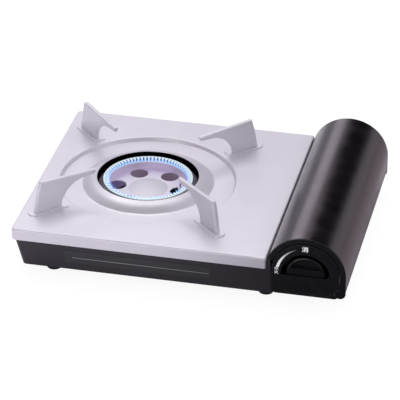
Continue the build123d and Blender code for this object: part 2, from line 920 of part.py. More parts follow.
for label, side in (("hinge_bracket_front", -1), ("hinge_bracket_back", 1)):
    lug_y = side * (cover_end - hinge_lug_inset)
    with BuildPart() as hinge_bracket:
        with BuildSketch(upright_plane(lug_y + hinge_lug_thickness / 2)):
            with BuildLine():
                Polyline(
                    (bay_right, floor_top),
                    (hinge_x, hinge_z - hinge_lug_radius),
                    (hinge_x, hinge_z + hinge_lug_radius),
                    (bay_right, floor_top + bay_wall_height - bay_sheet),
                    close=True,
                )
            make_face()
            with Locations(hinge_centre):
                Circle(hinge_lug_radius)
        extrude(amount=hinge_lug_thickness)
        with BuildSketch(Plane.YZ.offset(bay_right)):
            flange_y = lug_y - side * (hinge_flange_length - hinge_lug_thickness) / 2
            with Locations((flange_y, floor_top + (bay_wall_height - bay_sheet) / 2)):
                Rectangle(hinge_flange_length, bay_wall_height - bay_sheet)
        extrude(amount=hinge_flange_sheet)
        with BuildSketch(upright_plane(lug_y + hinge_flange_length)):
            with Locations(hinge_centre):
                Circle(hinge_rod_radius + hinge_fit)
        extrude(amount=2 * hinge_flange_length, mode=Mode.SUBTRACT)
    hinge_bracket.part.label = label
    export_step(hinge_bracket.part, f"parts/{label}.step")

# ---------------------------------------------------------------------------
# Cover with its front bezel and back cap
# ---------------------------------------------------------------------------


def cover_section(inner, outer, skirt):
    """Closed outline of the arched cover between two radii, with a straight right side."""
    with BuildSketch() as section:
        with BuildLine():
            start = (cover_x + outer, skirt)
            start_inner = (cover_x + inner, skirt)
            Line(start, (cover_x + outer, cover_z))
            CenterArc(cover_centre, outer, 0, cover_edge_angle)
            Line(
                (cover_x + outer * cos(edge_turn), cover_z + outer * sin(edge_turn)),
                (cover_x + inner * cos(edge_turn), cover_z + inner * sin(edge_turn)),
            )
            CenterArc(cover_centre, inner, cover_edge_angle, -cover_edge_angle)
            Line((cover_x + inner, cover_z), start_inner)
            Line(start_inner, start)
        make_face()
    return section.sketch


with BuildPart() as cover_shell:
    with BuildSketch(upright_plane(shell_end)):
        add(cover_section(cover_inner_radius, cover_radius, cover_skirt_height))
    extrude(amount=2 * shell_end)
cover_shell.part.label = "cover_shell"
export_step(cover_shell.part, "parts/cover_shell.step")

spigot_outer = cover_inner_radius - spigot_fit
spigot_skirt = hinge_z + hinge_inset + spigot_wall
hinge_boss_rise = hinge_boss_length - cover_end_thickness
hinge_bore_depth = hinge_boss_length - hinge_rod_end_gap + hinge_bore_spare

with BuildPart() as cover_bezel:
    with BuildSketch(upright_plane(-shell_end)):
        add(cover_section(cover_radius - bezel_width, cover_radius, hinge_z))
        with Locations(hinge_centre):
            Circle(hinge_inset)
    extrude(amount=cover_end_thickness)
    bezel_rims = cover_bezel.faces().filter_by(Axis.Y).sort_by(Axis.Y)[0].edges()
    fillet(bezel_rims, end_edge)
    with BuildSketch(upright_plane(-shell_end + spigot_length)):
        add(cover_section(spigot_outer - spigot_wall, spigot_outer, spigot_skirt))
    extrude(amount=spigot_length)
    # Boss that turns on the end of the hinge rod.
    boss_end = upright_plane(-shell_end + hinge_boss_rise)
    with BuildSketch(boss_end):
        with Locations(hinge_centre):
            Circle(hinge_boss_radius)
    extrude(amount=hinge_boss_rise)
    with BuildSketch(boss_end):
        with Locations(hinge_centre):
            Circle(hinge_rod_radius + hinge_fit)
    extrude(amount=hinge_bore_depth, mode=Mode.SUBTRACT)
cover_bezel.part.label = "cover_bezel"
export_step(cover_bezel.part, "parts/cover_bezel.step")

with BuildPart() as cover_cap:
    with BuildSketch(upright_plane(cover_end)):
        with BuildLine():
            Line(hinge_centre, (cover_right, hinge_z))
            Line((cover_right, hinge_z), (cover_right, cover_z))
            CenterArc(cover_centre, cover_radius, 0, cover_edge_angle)
            Line(edge_point, hinge_centre)
        make_face()
        with Locations(hinge_centre):
            Circle(hinge_inset)
    extrude(amount=cover_end_thickness)
    fillet(cover_cap.faces().filter_by(Axis.Y).sort_by(Axis.Y)[-1].edges(), end_edge)
    with BuildSketch(upright_plane(shell_end)):
        add(cover_section(spigot_outer - spigot_wall, spigot_outer, spigot_skirt))
    extrude(amount=spigot_length)
    with BuildSketch(upright_plane(shell_end)):
        with Locations(hinge_centre):
            Circle(hinge_boss_radius)
    extrude(amount=hinge_boss_rise)
    with BuildSketch(upright_plane(cover_end - hinge_rod_end_gap + hinge_bore_spare)):
        with Locations(hinge_centre):
            Circle(hinge_rod_radius + hinge_fit)
    extrude(amount=hinge_bore_depth, mode=Mode.SUBTRACT)
cover_cap.part.label = "cover_cap"
export_step(cover_cap.part, "parts/cover_cap.step")

with BuildPart() as cover_bumpers:
    bumper_left = edge_point[0]
    with BuildSketch(Plane.XY.offset(case_top + bumper_gap)):
        with Locations((bumper_left + bumper_thickness / 2, 0)):
            with GridLocations(bumper_thickness, bumper_spacing, 1, 2):
                Rectangle(bumper_thickness, bumper_length)
    extrude(amount=bumper_height)
    with BuildSketch(upright_plane(shell_end)):
        with Locations(cover_centre):
            Circle(cover_inner_radius)
    extrude(amount=2 * shell_end, mode=Mode.INTERSECT)
cover_bumpers.part.label = "cover_bumpers"
export_step(cover_bumpers.part, "parts/cover_bumpers.step")

# ---------------------------------------------------------------------------
# Control panel, knob and igniter
# ---------------------------------------------------------------------------


def end_outline(inset, corner):
    """Arched outline of the control panel, drawn in by the inset."""
    radius = panel_radius - inset
    bottom = panel_bottom + inset
    with BuildSketch() as outline:
        with BuildLine():
            CenterArc(cover_centre, radius, 0, 180)
            FilletPolyline(
                (cover_x - radius, cover_z),
                (cover_x - radius, bottom),
                (cover_x + radius, bottom),
                (cover_x + radius, cover_z),
                radius=corner,
            )
        make_face()
    return outline.sketch


def half_disc(centre, radius):
    """Upper half of a disc."""
    with BuildSketch() as half:
        with BuildLine():
            CenterArc(centre, radius, 0, 180)
            Line((centre[0] - radius, centre[1]), (centre[0] + radius, centre[1]))
        make_face()
    return half.sketch


ledge_centre = (cover_x, knob_z - window_ledge_drop)
notch_radius = hinge_inset + notch_clearance
panel_inner = panel_front + panel_wall
panel_bosses = [
    (cover_x + side * panel_boss_x, cover_z + height)
    for side in (-1, 1)
    for height in (panel_boss_top, -panel_boss_bottom)
]

with BuildPart() as control_panel:
    with BuildSketch(upright_plane(panel_back)):
        add(end_outline(0, panel_corner))
    extrude(amount=panel_depth)
    fillet(control_panel.faces().sort_by(Axis.Y)[0].edges(), panel_recess)
    with BuildSketch(upright_plane(panel_face)):
        add(end_outline(panel_border, border_corner))
    extrude(amount=panel_recess, mode=Mode.SUBTRACT)
    # Hollow at the back, with a wall kept round the hinge notch.
    with BuildSketch(upright_plane(panel_back)):
        add(end_outline(panel_wall, panel_inner_corner))
        with Locations(hinge_centre):
            Circle(notch_radius + panel_wall, mode=Mode.SUBTRACT)
    extrude(amount=panel_back - panel_inner, mode=Mode.SUBTRACT)
    # Cup round the knob, kept within the panel's walls, and bosses that reach
    # back to the regulator bracket.
    with BuildSketch(upright_plane(pocket_back)):
        with Locations(knob_centre):
            Circle(pocket_radius + panel_wall)
        add(half_disc(ledge_centre, window_radius + panel_wall))
        add(end_outline(cup_inset, panel_inner_corner), mode=Mode.INTERSECT)
    extrude(amount=pocket_back - panel_inner)
    with BuildSketch(upright_plane(bracket_front)):
        with Locations(panel_bosses):
            Circle(panel_boss_radius)
    extrude(amount=bracket_front - panel_inner)
    with BuildSketch(upright_plane(bracket_front)):
        with Locations(panel_bosses):
            Circle(screw_radius + screw_fit)
    extrude(amount=screw_length, mode=Mode.SUBTRACT)
    # Knob pocket behind the lower face, and the half-moon window above it.
    with BuildSketch(upright_plane(pocket_floor)):
        with Locations(knob_centre):
            Circle(pocket_radius)
    extrude(amount=pocket_floor - mask_back, mode=Mode.SUBTRACT)
    with BuildSketch(upright_plane(pocket_floor)):
        add(half_disc(ledge_centre, window_radius))
    extrude(amount=pocket_floor - panel_front, mode=Mode.SUBTRACT)
    with BuildSketch(upright_plane(pocket_back)):
        with Locations(knob_centre):
            Circle(spindle_radius + spindle_clearance)
    extrude(amount=knob_pocket_floor, mode=Mode.SUBTRACT)
    with BuildSketch(upright_plane(panel_back)):
        with Locations(hinge_centre):
            Circle(notch_radius)
    extrude(amount=panel_depth, mode=Mode.SUBTRACT)
control_panel.part.label = "control_panel"
export_step(control_panel.part, "parts/control_panel.step")

with BuildPart() as control_knob:
    with BuildSketch(upright_plane(knob_back)):
        with Locations(knob_centre):
            Circle(knob_radius)
    extrude(amount=knob_depth)
    fillet(control_knob.faces().sort_by(Axis.Y)[0].edges(), knob_edge)
    with BuildSketch(upright_plane(knob_back)):
        with Locations(knob_centre):
            with PolarLocations(knob_radius, knob_groove_count):
                Circle(knob_groove_radius)
    extrude(amount=knob_depth, mode=Mode.SUBTRACT)
    # Dished face, crossed by the grip bar.
    with BuildSketch(upright_plane(knob_front + knob_dish)):
        with Locations(knob_centre):
            Circle(knob_radius - knob_rim_width)
            Rectangle(2 * knob_radius, knob_grip_width, mode=Mode.SUBTRACT)
    extrude(amount=knob_dish, mode=Mode.SUBTRACT)
    with BuildSketch(upright_plane(knob_back)):
        with Locations(knob_centre):
            Circle(spindle_radius + spindle_fit)
    extrude(amount=spindle_into_knob, mode=Mode.SUBTRACT)
control_knob.part.label = "control_knob"
export_step(control_knob.part, "parts/control_knob.step")

with BuildPart() as knob_spindle:
    spindle_back = bracket_back + spindle_into_regulator
    with BuildSketch(upright_plane(spindle_back)):
        with Locations(knob_centre):
            Circle(spindle_radius)
    extrude(amount=spindle_back - knob_back + spindle_into_knob)
knob_spindle.part.label = "knob_spindle"
export_step(knob_spindle.part, "parts/knob_spindle.step")


def cam_radius(angle):
    """Radius of the cam at an angle round the spindle."""
    return cam_high_radius - cam_fall_per_radian * radians(angle - cam_start)


def cam_point(angle, radius):
    """Point of the cam outline in the upright plane."""
    return (cover_x + radius * cos(radians(angle)), knob_z + radius * sin(radians(angle)))


with BuildPart() as igniter_cam:
    cam_end = cam_start + cam_sweep
    heel_radius = cam_radius(cam_end)
    ramp_points = [
        cam_point(angle, cam_radius(angle))
        for angle in [cam_start + cam_sweep * step / cam_steps for step in range(cam_steps + 1)]
    ]
    with BuildSketch(upright_plane(cam_back)):
        with BuildLine():
            Spline(ramp_points)
            heel_sweep = 360 - cam_sweep - cam_step
            CenterArc(knob_centre, heel_radius, cam_end, heel_sweep)
            Line(cam_point(cam_end + heel_sweep, heel_radius), ramp_points[0])
        make_face()
        with Locations(knob_centre):
            Circle(spindle_radius + spindle_fit, mode=Mode.SUBTRACT)
    extrude(amount=cam_thickness)
igniter_cam.part.label = "igniter_cam"
export_step(igniter_cam.part, "parts/igniter_cam.step")

plunger_tip = cover_x - cam_radius(plunger_angle) - plunger_tip_gap
plunger_back = igniter_right - plunger_inside

with BuildPart() as piezo_plunger:
    with BuildSketch(Plane.YZ.offset(plunger_back)):
        with Locations((igniter_y, knob_z)):
            Circle(plunger_radius)
    extrude(amount=plunger_tip - plunger_radius - plunger_back)
    with Locations((plunger_tip - plunger_radius, igniter_y, knob_z)):
        Sphere(plunger_radius)
piezo_plunger.part.label = "piezo_plunger"
export_step(piezo_plunger.part, "parts/piezo_plunger.step")

with BuildPart() as piezo_igniter:
    with BuildSketch(Plane.YZ.offset(igniter_left)):
        with Locations((igniter_y, knob_z)):
            RectangleRounded(igniter_width, igniter_height, igniter_corner)
    extrude(amount=igniter_length)
    # Flange against the inner face of the case's bay wall.
    with BuildSketch(Plane.YZ.offset(case_right - case_sheet)):
        with Locations((igniter_y, knob_z)):
            RectangleRounded(
                igniter_width + 2 * igniter_flange_side,
                igniter_height + 2 * igniter_flange_rim,
                igniter_flange_corner,
            )
    extrude(amount=-igniter_flange_thickness)
    with BuildSketch(Plane.YZ.offset(igniter_right)):
        with Locations((igniter_y, knob_z)):
            Circle(plunger_radius + plunger_fit)
    extrude(amount=-plunger_inside - plunger_bore_spare, mode=Mode.SUBTRACT)
piezo_igniter.part.label = "piezo_igniter"
export_step(piezo_igniter.part, "parts/piezo_igniter.step")

# ---------------------------------------------------------------------------
# Regulator and its bracket
# ---------------------------------------------------------------------------

with BuildPart() as regulator_bracket:
    bracket_height = cartridge_z + bracket_top - floor_top
    with BuildSketch(upright_plane(bracket_back)) as bracket_face:
        with Locations((cover_x, floor_top + bracket_height / 2)):
            Rectangle(2 * bracket_half_width, bracket_height)
        chamfer(bracket_face.vertices().group_by(Axis.Y)[-1], bracket_corner)
        with Locations(panel_bosses):
            Circle(screw_radius + screw_fit, mode=Mode.SUBTRACT)
        with Locations(knob_centre):
            Circle(spindle_radius + spindle_clearance, mode=Mode.SUBTRACT)
    extrude(amount=bracket_sheet)
    with BuildSketch(Plane.XY.offset(floor_top)):
        with Locations((cover_x, bracket_back + bracket_foot / 2)):
            Rectangle(2 * bracket_half_width, bracket_foot)
    extrude(amount=bracket_sheet)
regulator_bracket.part.label = "regulator_bracket"
export_step(regulator_bracket.part, "parts/regulator_bracket.step")

with BuildPart() as panel_screws:
    behind = Plane(origin=(0, bracket_back, 0), x_dir=(-1, 0, 0), z_dir=(0, 1, 0))
    behind_places = [(-x, z) for x, z in panel_bosses]
    add(pan_screw_heads(behind, behind_places, small_head))
    with BuildSketch(upright_plane(bracket_back)):
        with Locations(panel_bosses):
            Circle(screw_radius)
    extrude(amount=screw_length)
panel_screws.part.label = "panel_screws"
export_step(panel_screws.part, "parts/panel_screws.step")


def regulator_ears(y_back, radius):
    """Round section with four screw ears, ending at y_back."""
    with BuildSketch(upright_plane(y_back)) as section:
        with Locations(cartridge_centre):
            Circle(radius)
            with PolarLocations(regulator_ear_circle, 4, start_angle=45):
                Circle(regulator_ear_radius)
    return section.sketch


with BuildPart() as regulator_body:
    with BuildSketch(upright_plane(regulator_middle)):
        with Locations(cartridge_centre):
            Circle(regulator_radius)
    extrude(amount=regulator_body_length)
    add(extrude(regulator_ears(regulator_middle, regulator_radius), regulator_ear_thickness,
                dir=(0, -1, 0), mode=Mode.PRIVATE))
    with BuildSketch(Plane.YZ.offset(outlet_tip)):
        with Locations((pipe_y, mixer_height)):
            Circle(regulator_outlet_radius)
    extrude(amount=regulator_outlet_length + regulator_radius / 2)
    with BuildSketch(Plane.YZ.offset(outlet_tip)):
        with Locations((pipe_y, mixer_height)):
            Circle(pipe_radius + screw_fit)
    extrude(amount=regulator_outlet_socket, mode=Mode.SUBTRACT)
    with BuildSketch(upright_plane(bracket_back + spindle_into_regulator + knob_floor_gap)):
        with Locations(knob_centre):
            Circle(spindle_radius + 2 * spindle_fit)
    extrude(amount=spindle_into_regulator + knob_floor_gap, mode=Mode.SUBTRACT)
    with BuildSketch(upright_plane(regulator_middle)):
        with Locations(cartridge_centre):
            with PolarLocations(regulator_ear_circle, 4, start_angle=45):
                Circle(regulator_screw_radius + screw_fit)
    extrude(amount=regulator_ear_thickness, mode=Mode.SUBTRACT)
regulator_body.part.label = "regulator_body"
export_step(regulator_body.part, "parts/regulator_body.step")

with BuildPart() as regulator_cap:
    with BuildSketch(upright_plane(regulator_back)):
        with Locations(cartridge_centre):
            Circle(regulator_cap_radius)
    extrude(amount=regulator_cap_length)
    add(extrude(regulator_ears(regulator_middle + regulator_ear_thickness, regulator_cap_radius),
                regulator_ear_thickness, dir=(0, -1, 0), mode=Mode.PRIVATE))
    with BuildSketch(upright_plane(regulator_back)):
        with Locations(cartridge_centre):
            Circle(nozzle_socket_radius)
    extrude(amount=-seal_length)
    with BuildSketch(upright_plane(regulator_back + seal_length)):
        with Locations(cartridge_centre):
            Circle(seal_radius + seal_fit)
    extrude(amount=seal_length + seal_seat, mode=Mode.SUBTRACT)
    with BuildSketch(upright_plane(regulator_back)):
        with Locations(cartridge_centre):
            Circle(can_stem_radius / 2)
    extrude(amount=regulator_cap_length, mode=Mode.SUBTRACT)
    with BuildSketch(upright_plane(regulator_middle + regulator_ear_thickness)):
        with Locations(cartridge_centre):
            with PolarLocations(regulator_ear_circle, 4, start_angle=45):
                Circle(regulator_screw_radius + screw_fit)
    extrude(amount=regulator_ear_thickness, mode=Mode.SUBTRACT)
regulator_cap.part.label = "regulator_cap"
export_step(regulator_cap.part, "parts/regulator_cap.step")

with BuildPart() as regulator_screws:
    ear_back = regulator_middle + regulator_ear_thickness
    ear_plane = Plane(origin=(cover_x, ear_back, cartridge_z), x_dir=(-1, 0, 0), z_dir=(0, 1, 0))
    ear_reach = regulator_ear_circle * sqrt(0.5)
    ear_places = [(x, z) for x in (-ear_reach, ear_reach) for z in (-ear_reach, ear_reach)]
    add(pan_screw_heads(ear_plane, ear_places, small_head))
    with BuildSketch(ear_plane):
        with Locations(ear_places):
            Circle(regulator_screw_radius)
    extrude(amount=-2 * regulator_ear_thickness)
regulator_screws.part.label = "regulator_screws"
export_step(regulator_screws.part, "parts/regulator_screws.step")

with BuildPart() as inlet_seal:
    with BuildSketch(upright_plane(regulator_back + seal_length)):
        with Locations(cartridge_centre):
            Circle(seal_radius)
            Circle(can_stem_radius + seal_bore_clearance, mode=Mode.SUBTRACT)
    extrude(amount=seal_length + seal_seat)
inlet_seal.part.label = "inlet_seal"
export_step(inlet_seal.part, "parts/inlet_seal.step")

with BuildPart() as magnet_ring:
    with BuildSketch(upright_plane(magnet_back)):
        with Locations(cartridge_centre):
            Circle(magnet_outer_radius)
            Circle(magnet_inner_radius, mode=Mode.SUBTRACT)
    extrude(amount=magnet_back - regulator_back)
magnet_ring.part.label = "magnet_ring"
export_step(magnet_ring.part, "parts/magnet_ring.step")

with BuildPart() as cartridge_locator:
    locator_z = cartridge_z + can_collar_radius - can_collar_notch_depth / 2
    with BuildSketch(upright_plane(can_front + can_collar_length - magnet_gap)):
        with Locations((cover_x, locator_z)):
            Rectangle(locator_width, locator_thickness)
    extrude(amount=can_collar_length)
cartridge_locator.part.label = "cartridge_locator"
export_step(cartridge_locator.part, "parts/cartridge_locator.step")

# ---------------------------------------------------------------------------
# Cartridge
# ---------------------------------------------------------------------------

dome_back = can_front + can_collar_length + can_dome_length
bottom_face = can_back - can_bottom_recess

with BuildPart() as cartridge_can:
    with BuildSketch(cartridge_section):
        with BuildLine():
            Polyline(
                (dome_back, can_seam_radius),
                (dome_back + can_seam_length, can_seam_radius),
                (dome_back + can_seam_length, can_radius),
                (can_back - can_seam_length, can_radius),
                (can_back - can_seam_length, can_seam_radius),
                (can_back, can_seam_radius),
                (can_back, can_radius - can_rim_width),
                (bottom_face, can_radius - can_rim_width - can_bottom_draft),
                (bottom_face, 0),
                (bottom_face - can_wall, 0),
                (bottom_face - can_wall, can_radius - can_wall),
                (dome_back, can_radius - can_wall),
                close=True,
            )
        make_face()
    revolve(axis=cartridge_axis)
cartridge_can.part.label = "cartridge_can"
export_step(cartridge_can.part, "parts/cartridge_can.step")

with BuildPart() as cartridge_dome:
    collar_back = can_front + can_collar_length
    with BuildSketch(cartridge_section):
        with BuildLine():
            ThreePointArc(
                (dome_back, can_radius),
                (dome_back - can_bulge_length, can_bulge_radius),
                (collar_back, can_collar_radius),
            )
            Line((collar_back, can_collar_radius), (collar_back, can_collar_radius - 2 * can_wall))
            ThreePointArc(
                (collar_back, can_collar_radius - 2 * can_wall),
                (dome_back - can_bulge_length + can_wall, can_bulge_radius - can_wall),
                (dome_back, can_radius - can_wall),
            )
            Line((dome_back, can_radius - can_wall), (dome_back, can_radius))
        make_face()
    revolve(axis=cartridge_axis)
cartridge_dome.part.label = "cartridge_dome"
export_step(cartridge_dome.part, "parts/cartridge_dome.step")

with BuildPart() as cartridge_valve:
    with BuildSketch(cartridge_section):
        with BuildLine():
            Polyline(
                (collar_back, 0),
                (collar_back, can_collar_radius),
                (can_front, can_collar_radius),
                (can_front, can_collar_radius - can_collar_rim),
                (can_front + can_valve_recess, can_collar_radius - can_collar_rim - can_collar_draft),
                (can_front + can_valve_recess, can_boss_radius),
                (can_front - can_boss_rise, can_boss_radius - can_boss_taper),
                (can_front - can_boss_rise, can_stem_radius),
                (can_front - can_stem_length, can_stem_radius),
                (can_front - can_stem_length, 0),
                close=True,
            )
        make_face()
    revolve(axis=cartridge_axis)
    with BuildSketch(upright_plane(collar_back)):
        with Locations((cover_x, cartridge_z + can_collar_radius)):
            Rectangle(can_collar_notch_width, 2 * can_collar_notch_depth)
    extrude(amount=can_collar_length, mode=Mode.SUBTRACT)
cartridge_valve.part.label = "cartridge_valve"
export_step(cartridge_valve.part, "parts/cartridge_valve.step")

# ---------------------------------------------------------------------------
# Burner
# ---------------------------------------------------------------------------

bowl_floor = ring_bottom - bowl_sheet - bowl_depth
flange_under = ring_bottom - bowl_sheet
chamber_inner_radius = bowl_radius + bowl_sheet + chamber_fit
dome_radius = (bowl_boss_radius**2 + bowl_boss_rise**2) / (2 * bowl_boss_rise)
dome_reach = degrees(asin(bowl_boss_radius / dome_radius))
dome_edge = 90 - dome_reach

with BuildPart() as burner_ring:
    with BuildSketch(Plane.XY.offset(ring_bottom)):
        with Locations((burner_x, burner_y)):
            Circle(ring_outer_radius)
            Circle(ring_inner_radius, mode=Mode.SUBTRACT)
    extrude(amount=ring_height)
    fillet(burner_ring.faces().sort_by(Axis.Z)[-1].edges(), ring_edge)
    # Flame ports, open towards the middle and the top.
    with BuildSketch(Plane.XY.offset(ring_bottom + port_floor)):
        with Locations((burner_x, burner_y)):
            with PolarLocations(ring_inner_radius, port_count):
                Rectangle(2 * port_depth, port_width)
    extrude(amount=ring_height, mode=Mode.SUBTRACT)
    # Gas gallery under the ports.
    gallery_middle = ring_inner_radius + port_depth - gallery_width / 2
    with BuildSketch(Plane.XY.offset(ring_bottom)):
        with Locations((burner_x, burner_y)):
            Circle(gallery_middle + gallery_width / 2)
            Circle(gallery_middle - gallery_width / 2, mode=Mode.SUBTRACT)
    extrude(amount=gallery_height, mode=Mode.SUBTRACT)
burner_ring.part.label = "burner_ring"
export_step(burner_ring.part, "parts/burner_ring.step")

with BuildPart() as burner_bowl:
    with BuildSketch(burner_section):
        with BuildLine():
            half_sheet = bowl_sheet / 2
            FilletPolyline(
                (ring_outer_radius, ring_bottom - half_sheet),
                (bowl_radius + half_sheet, ring_bottom - half_sheet),
                (bowl_radius + half_sheet, bowl_floor + half_sheet),
                (bowl_boss_radius - bowl_sheet, bowl_floor + half_sheet),
                radius=[bowl_rim_bend, bowl_floor_bend],
            )
        trace(line_width=bowl_sheet)
        # Shallow dome in the middle.
        with BuildLine():
            dome_centre = (0, bowl_floor + half_sheet + bowl_boss_rise - dome_radius)
            dome_outer = CenterArc(dome_centre, dome_radius + half_sheet, dome_edge, dome_reach)
            dome_inner = CenterArc(dome_centre, dome_radius - half_sheet, dome_edge, dome_reach)
            Line(dome_outer @ 0, dome_inner @ 0)
            Line(dome_outer @ 1, dome_inner @ 1)
        make_face()
    revolve(axis=burner_axis)
    with BuildSketch(Plane.XY.offset(bowl_floor)):
        with Locations((burner_x, burner_y)):
            with PolarLocations(bowl_hole_circle, bowl_hole_count):
                Circle(bowl_hole_radius)
    extrude(amount=bowl_sheet, mode=Mode.SUBTRACT)
    # Gas passages through the flange into the gallery.
    with BuildSketch(Plane.XY.offset(flange_under)):
        with Locations((burner_x, burner_y)):
            with PolarLocations(passage_circle, passage_count):
                Circle(passage_radius)
    extrude(amount=bowl_sheet, mode=Mode.SUBTRACT)
burner_bowl.part.label = "burner_bowl"
export_step(burner_bowl.part, "parts/burner_bowl.step")

mixer_direction = (cos(radians(mixer_angle)), sin(radians(mixer_angle)), 0)
mixer_axis = Axis((burner_x, burner_y, mixer_height), mixer_direction)
chamber_inlet = chamber_outer_radius - chamber_wall

with BuildPart() as burner_body:
    with BuildSketch(burner_section):
        with BuildLine():
            floor_inner = chamber_bottom + chamber_wall
            wall_inner = chamber_inner_radius + chamber_wall
            Polyline(
                (chamber_inner_radius, chamber_bottom),
                (chamber_outer_radius, chamber_bottom),
                (chamber_outer_radius, chamber_shoulder),
                (chamber_lip_outer, flange_under),
                (chamber_lip_inner, flange_under),
                (chamber_lip_inner, flange_under - chamber_lip),
                (chamber_inlet, chamber_shoulder - chamber_lip),
                (chamber_inlet, floor_inner),
                (wall_inner, floor_inner),
                (wall_inner, chamber_wall_top),
                (chamber_inner_radius, chamber_wall_top),
                close=True,
            )
        make_face()
    revolve(axis=burner_axis)
    # Inlet for the mixing tube.
    inlet_plane = Plane(
        origin=(*around_burner(wall_inner + chamber_wall / 2, mixer_angle), mixer_height),
        x_dir=(0, 0, 1),
        z_dir=mixer_direction,
    )
    with BuildSketch(inlet_plane):
        Circle(mixer_radius + screw_fit)
    extrude(amount=2 * mixer_radius, mode=Mode.SUBTRACT)
burner_body.part.label = "burner_body"
export_step(burner_body.part, "parts/burner_body.step")

with BuildPart() as burner_bracket:
    with BuildSketch(Plane.XY.offset(chamber_bottom - burner_bracket_sheet)):
        with Locations((burner_x, burner_y)):
            Circle(burner_leg_radius + burner_bracket_sheet)
            Circle(chamber_inner_radius + chamber_wall, mode=Mode.SUBTRACT)
    extrude(amount=burner_bracket_sheet)
    with BuildSketch(Plane.XY.offset(floor_top)):
        with Locations((burner_x, burner_y)):
            with PolarLocations(leg_middle, burner_leg_count, start_angle=burner_leg_angle):
                Rectangle(burner_bracket_sheet, burner_leg_width)
    extrude(amount=chamber_bottom - burner_bracket_sheet - floor_top)
    with BuildSketch(Plane.XY.offset(floor_top)):
        with Locations((burner_x, burner_y)):
            with PolarLocations(leg_foot_middle, burner_leg_count, start_angle=burner_leg_angle):
                Rectangle(burner_leg_foot, burner_leg_width)
            with PolarLocations(leg_screw_radius, burner_leg_count, start_angle=burner_leg_angle):
                Circle(screw_radius + screw_fit, mode=Mode.SUBTRACT)
    extrude(amount=burner_bracket_sheet)
burner_bracket.part.label = "burner_bracket"
export_step(burner_bracket.part, "parts/burner_bracket.step")

with BuildPart() as burner_screws:
    leg_top = floor_top + burner_bracket_sheet
    add(pan_screw_heads(Plane.XY.offset(leg_top), leg_screw_places, small_head))
    with BuildSketch(Plane.XY.offset(leg_top)):
        with Locations(leg_screw_places):
            Circle(screw_radius)
    extrude(amount=floor_bottom - leg_top - screw_radius)
burner_screws.part.label = "burner_screws"
export_step(burner_screws.part, "parts/burner_screws.step")

# ---------------------------------------------------------------------------
# Mixing tube, jet, gas pipe and heat panel
# ---------------------------------------------------------------------------

with BuildPart() as mixing_tube:
    with BuildSketch(radial_plane(mixer_angle)):
        with BuildLine():
            bell_start = mixer_mouth - mixer_bell_length
            Polyline(
                (chamber_inlet, mixer_height + mixer_radius - mixer_wall),
                (chamber_inlet, mixer_height + mixer_radius),
                (bell_start, mixer_height + mixer_radius),
                (mixer_mouth, mixer_height + mixer_bell_radius),
                (mixer_mouth, mixer_height + mixer_bell_radius - mixer_wall),
                (bell_start, mixer_height + mixer_radius - mixer_wall),
                close=True,
            )
        make_face()
    revolve(axis=mixer_axis)
mixing_tube.part.label = "mixing_tube"
export_step(mixing_tube.part, "parts/mixing_tube.step")

jet_tip = mixer_mouth + jet_gap
jet_back = jet_tip + jet_length

with BuildPart() as gas_jet:
    with BuildSketch(radial_plane(mixer_angle)):
        with BuildLine():
            Polyline(
                (jet_tip, mixer_height + jet_bore_radius),
                (jet_tip, mixer_height + jet_tip_radius - jet_tip_chamfer),
                (jet_tip + jet_tip_chamfer, mixer_height + jet_tip_radius),
                (jet_tip + jet_tip_length, mixer_height + jet_tip_radius),
                (jet_tip + jet_tip_length, mixer_height + jet_radius),
                (jet_back, mixer_height + jet_radius),
                (jet_back, mixer_height + jet_bore_radius),
                close=True,
            )
        make_face()
    revolve(axis=mixer_axis)
gas_jet.part.label = "gas_jet"
export_step(gas_jet.part, "parts/gas_jet.step")

with BuildPart() as jet_bracket:
    bracket_radius = jet_tip + jet_tip_length + jet_bracket_behind
    jet_plane = Plane(
        origin=(*around_burner(bracket_radius, mixer_angle), 0),
        x_dir=(-mixer_direction[1], mixer_direction[0], 0),
        z_dir=mixer_direction,
    )
    with BuildSketch(jet_plane) as jet_plate:
        with Locations((0, (floor_top + mixer_height + jet_bracket_top) / 2)):
            Rectangle(2 * jet_bracket_half_width, mixer_height + jet_bracket_top - floor_top)
        fillet(jet_plate.vertices().group_by(Axis.Y)[-1], jet_bracket_corner)
        with Locations((0, mixer_height)):
            Circle(jet_radius + screw_fit, mode=Mode.SUBTRACT)
    extrude(amount=burner_bracket_sheet)
    with BuildSketch(jet_plane):
        with Locations((0, floor_top + burner_bracket_sheet / 2)):
            Rectangle(2 * jet_bracket_half_width, burner_bracket_sheet)
    extrude(amount=jet_bracket_foot)
jet_bracket.part.label = "jet_bracket"
export_step(jet_bracket.part, "parts/jet_bracket.step")

pipe_route = [
    (*around_burner(jet_back, mixer_angle), mixer_height),
    (pipe_turn_x, pipe_y, mixer_height),
    (outlet_tip + regulator_outlet_socket, pipe_y, mixer_height),
]

with BuildPart() as gas_pipe:
    with BuildLine():
        FilletPolyline(*pipe_route, radius=pipe_bend)
    pipe_start = Plane(origin=pipe_route[0], x_dir=(0, 0, 1), z_dir=mixer_direction)
    with BuildSketch(pipe_start):
        Circle(pipe_radius)
        Circle(pipe_radius - pipe_wall, mode=Mode.SUBTRACT)
    sweep()
gas_pipe.part.label = "gas_pipe"
export_step(gas_pipe.part, "parts/gas_pipe.step")

